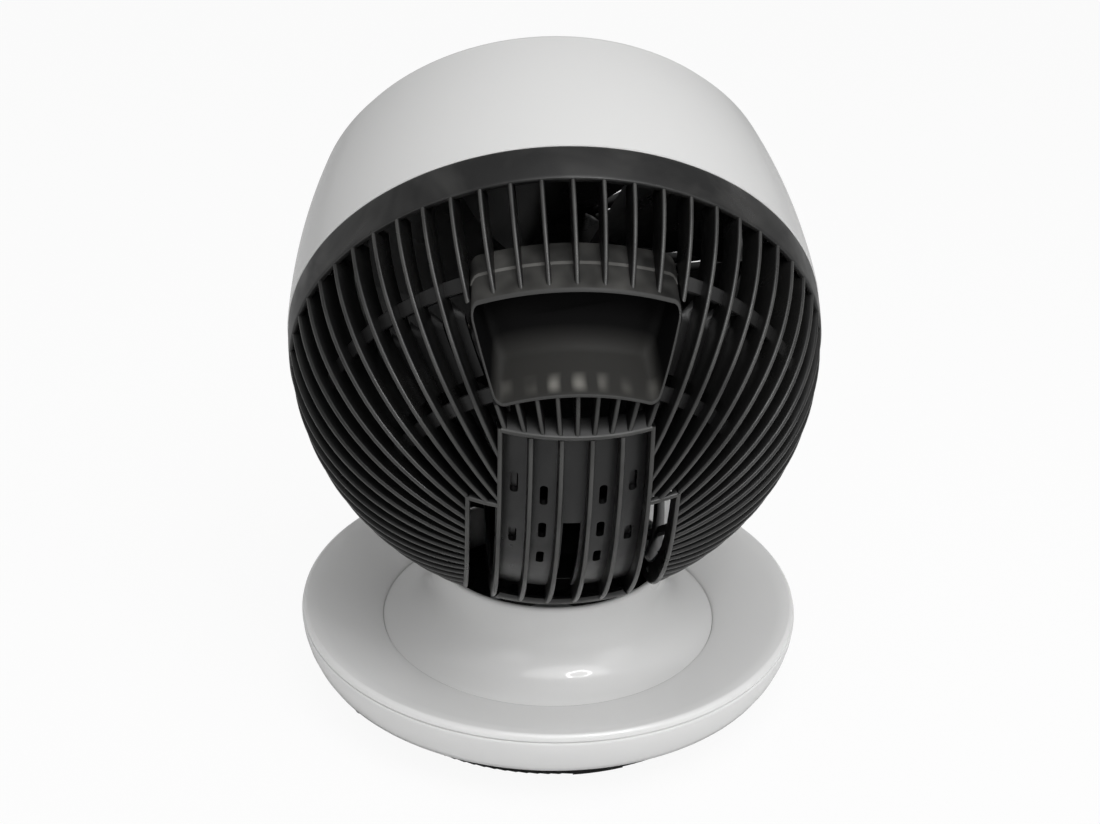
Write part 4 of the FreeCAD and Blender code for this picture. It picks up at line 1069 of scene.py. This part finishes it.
def make_impeller():
    """Cup-shaped hub with its bore, and the blades."""
    cup = [(31.2, 29.0), (34.0, 29.0), (34.0, 51.0)] + arc(7.0, 10, 80, 6, (27.0, 51.0))
    cup += [(27.0, 58.0), (4.0, 58.0), (4.0, 47.0), (8.0, 47.0), (8.0, 55.2), (26.0, 55.2), (31.2, 49.0)]
    shapes = [turned(cup, 160)]
    for index in range(BLADES):
        blade = lofted([blade_loop(*row) for row in BLADE_ROWS], True, True)
        shapes.append(placed(blade, about_z(BLADE_TURN - 360.0 * index / BLADES)))
    finished("fan_blades", joined(*shapes), "impeller", "black_plastic", ["impeller"], SEAT_HEAD, 50)


# ------------------------------------------------------------------ control panel
PANEL_IN = 93.0
PANEL_OUT = 116.0
PANEL_SPREAD = 50.0
KEY_RING = 104.5
KEY_R = 4.8
KEY_STEP = 9.5
KEYS = ("power", "speed", "swing", "tilt", "timer")
DISH_INNER = (88.0, 30.2)      # radius and height at which the dish's slope starts
DISH_OUTER = (122.6, 41.0)     # and at which it would end
DISH_SLOPE = (DISH_OUTER[1] - DISH_INNER[1]) / (DISH_OUTER[0] - DISH_INNER[0])


def dish_height(radius):
    return DISH_INNER[1] + (radius - DISH_INNER[0]) * DISH_SLOPE


def facing_front(bm):
    """Turn a sector about Z so that its middle is at the front."""
    middle = sum((vert.co.xy.to_3d() for vert in bm.verts), Vector())
    return placed(bm, Matrix.Rotation(-math.pi / 2 - math.atan2(middle.y, middle.x), 4, "Z"))


def panel_recess(gap=0.2):
    """Block that opens the cover round the panel."""
    inner, outer = PANEL_IN - gap, PANEL_OUT + gap
    profile = [(inner, 22.0), (outer, 22.0), (outer, 48.0), (inner, 48.0)]
    spread = math.radians(PANEL_SPREAD) + 2 * gap / PANEL_IN
    return facing_front(turned(profile, 40, spread))


def on_panel(index, out=0.0):
    """Seat for a key or a mark: at the key's angle, lying on the slope of the dish."""
    radius = KEY_RING + out
    lean = Matrix.Rotation(math.atan(DISH_SLOPE), 4, "X")
    seat = Matrix.Translation((0, radius, dish_height(radius)))
    return about_z(180 + (index - len(KEYS) // 2) * KEY_STEP) @ seat @ lean


def make_inset():
    """Black inset lying on the slope of the dish, with a flared hole for each key."""
    low, ease = 2.4, 0.35
    profile = [(PANEL_IN, -ease), (PANEL_IN + ease, -0.05), (PANEL_OUT - ease, -0.05), (PANEL_OUT, -ease),
               (PANEL_OUT, -low), (PANEL_IN, -low)]
    profile = [(radius, dish_height(radius) + height) for radius, height in profile]
    inset = facing_front(turned(profile, 60, math.radians(PANEL_SPREAD)))
    hole, flare = KEY_R + 0.4, KEY_R + 1.0
    shape = [(0, -8.0), (hole, -8.0), (hole, -0.7), (flare, 0.2), (flare, 3.0), (0, 3.0)]
    holes = [placed(turned(shape, 64), on_panel(index)) for index in range(len(KEYS))]
    finished("panel_inset", carved(inset, holes), "base", "panel_black", ["control_panel"], None, 35)


def make_key(name, index):
    """Key with a rounded edge and a shallow dish for the fingertip, cut to the slope."""
    top = 0.78
    rim = [(KEY_R, -4.2), (KEY_R, top - 0.7)] + arc(0.7, 15, 90, 5, (KEY_R - 0.7, top - 0.7))
    bowl = [(KEY_R - 1.2, top - 0.06), (3.0, top - 0.22), (1.6, top - 0.33), (0.0, top - 0.37)]
    key = placed(turned(rim + bowl + [(0.0, -4.2)], 72), on_panel(index))
    finished("key_" + name, key, "button_" + name, "black_plastic", ["button_" + name], None, 35)


def flat_mark(loops, depth=0.14):
    """Thin raised shape from closed outlines, on the plane of the panel."""
    bm = bmesh.new()
    for loop in loops:
        face = bm.faces.new([bm.verts.new((x, y, -0.06)) for x, y in loop])
        raised = bmesh.ops.extrude_face_region(bm, geom=[face])["geom"]
        raised = [item for item in raised if isinstance(item, bmesh.types.BMVert)]
        bmesh.ops.translate(bm, vec=(0, 0, depth + 0.06), verts=raised)
    bmesh.ops.recalc_face_normals(bm, faces=bm.faces)
    return bm


def bow(radius, start, stop, wide=0.36, steps=20):
    """Curved stroke of a mark."""
    return arc(radius + wide / 2, start, stop, steps) + arc(radius - wide / 2, stop, start, steps)


def stroke(x0, y0, x1, y1, wide=0.36):
    """Straight stroke of a mark, with square ends."""
    along = Vector((x1 - x0, y1 - y0)).normalized() * wide / 2
    side = Vector((-along.y, along.x))
    ends = [Vector((x0, y0)) - along, Vector((x1, y1)) + along]
    return [tuple(ends[0] + side), tuple(ends[0] - side), tuple(ends[1] - side), tuple(ends[1] + side)]


def arrow(x, y, turn, size=0.62):
    """Head of an arrow that points along an angle."""
    corners = [math.radians(turn + way) for way in (0, 130, 230)]
    return [(x + size * math.cos(corner), y + size * math.sin(corner)) for corner in corners]


def mark_shapes():
    """Marks beside the keys: power, speed, swing, tilt and timer."""
    power = [bow(1.45, 120, 420), stroke(0, 0.6, 0, 1.9)]
    speed = [stroke(across, -1.4, across, high, 0.6) for across, high in ((-1.3, -0.5), (0, 0.4), (1.3, 1.4))]
    swing = [bow(1.9, 215, 325), arrow(-1.75, -0.85, 125), arrow(1.75, -0.85, 55)]
    swing.append(stroke(0, 0.1, 0, 1.3, 0.7))
    tilt = [bow(1.9, -50, 50), arrow(1.05, 1.75, 140), arrow(1.05, -1.75, 220)]
    tilt.append(stroke(-1.4, 0, -0.2, 0, 0.7))
    timer = [bow(1.65, 0, 359.9, 0.36, 36), stroke(0, 0.05, 0, 1.0, 0.32)]
    timer.append(stroke(0.1, -0.02, 0.8, -0.3, 0.32))
    return (power, speed, swing, tilt, timer)


def make_marks():
    """Each mark lies outside its key and reads from the front."""
    shapes = []
    for index, loops in enumerate(mark_shapes()):
        mark = flat_mark(loops)
        placed(mark, Matrix.Rotation(math.pi, 4, "Z"))
        shapes.append(placed(mark, on_panel(index, 8.0)))
    finished("panel_marks", joined(*shapes), "base", "white_shell", ["control_panel"], None, 30)


# ------------------------------------------------------------------ all pieces
make_impeller()
make_grille()
make_cap()
make_arm(-1)
make_arm(1)
for place, name in enumerate(KEYS):
    make_key(name, place)
make_inset()
make_marks()
make_guard()
make_pocket()
make_panel()
make_casing()
make_base()
make_pedestal()


# ------------------------------------------------------------------ camera
bpy.context.scene.view_settings.view_transform = "Standard"


def make_camera():
    eye = Vector((0.0581, 0.6984, 0.4842))
    target = Vector((0.0014, 0.0, 0.14045))
    roll = math.radians(1.35)
    data = bpy.data.cameras.new("camera")
    data.sensor_width = 36.0
    data.lens = 52.6
    data.clip_start = 0.05
    data.clip_end = 50.0
    camera = bpy.data.objects.new("camera", data)
    bpy.context.scene.collection.objects.link(camera)
    back = (eye - target).normalized()
    right = Vector((0, 0, 1)).cross(back).normalized()
    up = back.cross(right)
    rolled = math.cos(roll) * right + math.sin(roll) * up
    up = back.cross(rolled)
    right = rolled
    camera.matrix_world = Matrix.Translation(eye) @ Matrix((right, up, back)).transposed().to_4x4()
    bpy.context.scene.camera = camera


# ------------------------------------------------------------------ floor and light
PAPER = 0.93          # how white the floor looks to the camera
ROOM = 0.39           # level of the room's even light
AIM = (0, 0, 0.1)     # where the lamps point


def make_floor():
    """Pale floor that keeps the object's shadow."""
    bm = bmesh.new()
    bmesh.ops.create_circle(bm, cap_ends=True, radius=8.0, segments=64)
    mesh = bpy.data.meshes.new("floor")
    bm.to_mesh(mesh)
    bm.free()
    floor = bpy.data.objects.new("floor", mesh)
    bpy.context.scene.collection.objects.link(floor)
    made = Finish("floor white")
    made.set(Base_Color=(0.82, 0.82, 0.82, 1), Roughness=0.9)
    seen = made.node("ShaderNodeLightPath")
    paper = made.node("ShaderNodeEmission", {}, {"Color": (1, 1, 1, 1), "Strength": 1.0})
    direct = seen.out("Is Camera Ray").math("MAXIMUM", seen.out("Is Transmission Ray"))
    blend = made.tree.nodes.new("ShaderNodeMixShader")
    made.feed(blend.inputs[0], direct * PAPER)
    made.tree.links.new(made.shader.outputs[0], blend.inputs[1])
    made.tree.links.new(paper.node.outputs[0], blend.inputs[2])
    made.tree.links.new(blend.outputs[0], made.tree.nodes["Material Output"].inputs[0])
    mesh.materials.append(made.material)


def soft_box(name, place, target, size, power):
    """Round soft lamp that points at a target."""
    data = bpy.data.lights.new(name, "AREA")
    data.shape = "DISK"
    data.size = size
    data.energy = power
    light = bpy.data.objects.new(name, data)
    bpy.context.scene.collection.objects.link(light)
    light.location = place
    direction = Vector(target) - Vector(place)
    light.rotation_euler = direction.to_track_quat("-Z", "Y").to_euler()


def ring_lamp(name, place, target, size, power):
    """Round lamp that shines from a ring only, for a ring of light on the glossy white."""
    soft_box(name, place, target, size, power)
    data = bpy.data.lights[name]
    data.use_nodes = True
    nodes, links = data.node_tree.nodes, data.node_tree.links
    where = nodes.new("ShaderNodeNewGeometry")
    offset = nodes.new("ShaderNodeVectorMath")
    offset.operation = "DISTANCE"
    offset.inputs[1].default_value = (0.5, 0.5, 0.0)
    outer = nodes.new("ShaderNodeMath")
    outer.operation = "GREATER_THAN"
    outer.inputs[1].default_value = 0.36
    links.new(where.outputs["Parametric"], offset.inputs[0])
    links.new(offset.outputs["Value"], outer.inputs[0])
    links.new(outer.outputs[0], nodes["Emission"].inputs["Strength"])


def make_light():
    """White room behind, an even light from it, and four lamps."""
    world = bpy.data.worlds.new("studio")
    world.use_nodes = True
    bpy.context.scene.world = world
    tree = world.node_tree
    tree.nodes.clear()
    ray = tree.nodes.new("ShaderNodeLightPath")
    seen = tree.nodes.new("ShaderNodeMath")
    seen.operation = "MAXIMUM"
    tree.links.new(ray.outputs["Is Camera Ray"], seen.inputs[0])
    tree.links.new(ray.outputs["Is Transmission Ray"], seen.inputs[1])
    blend = tree.nodes.new("ShaderNodeMixShader")
    tree.links.new(seen.outputs[0], blend.inputs[0])
    for index, level in ((1, ROOM), (2, 1.0)):
        backdrop = tree.nodes.new("ShaderNodeBackground")
        backdrop.inputs[0].default_value = (1, 1, 1, 1)
        backdrop.inputs[1].default_value = level
        tree.links.new(backdrop.outputs[0], blend.inputs[index])
    out = tree.nodes.new("ShaderNodeOutputWorld")
    tree.links.new(blend.outputs[0], out.inputs[0])
    soft_box("overhead", (-0.25, 0.75, 1.5), AIM, 1.5, 12.5)
    ring_lamp("ring", (-0.45, 0.8, 1.4), AIM, 0.44, 8.0)
    soft_box("rear_left", (0.9, 1.4, 0.8), AIM, 0.8, 1.3)
    soft_box("rear_right", (-1.3, 0.9, 0.9), (0, 0, 0.15), 1.0, 2.3)


make_camera()
make_floor()
make_light()
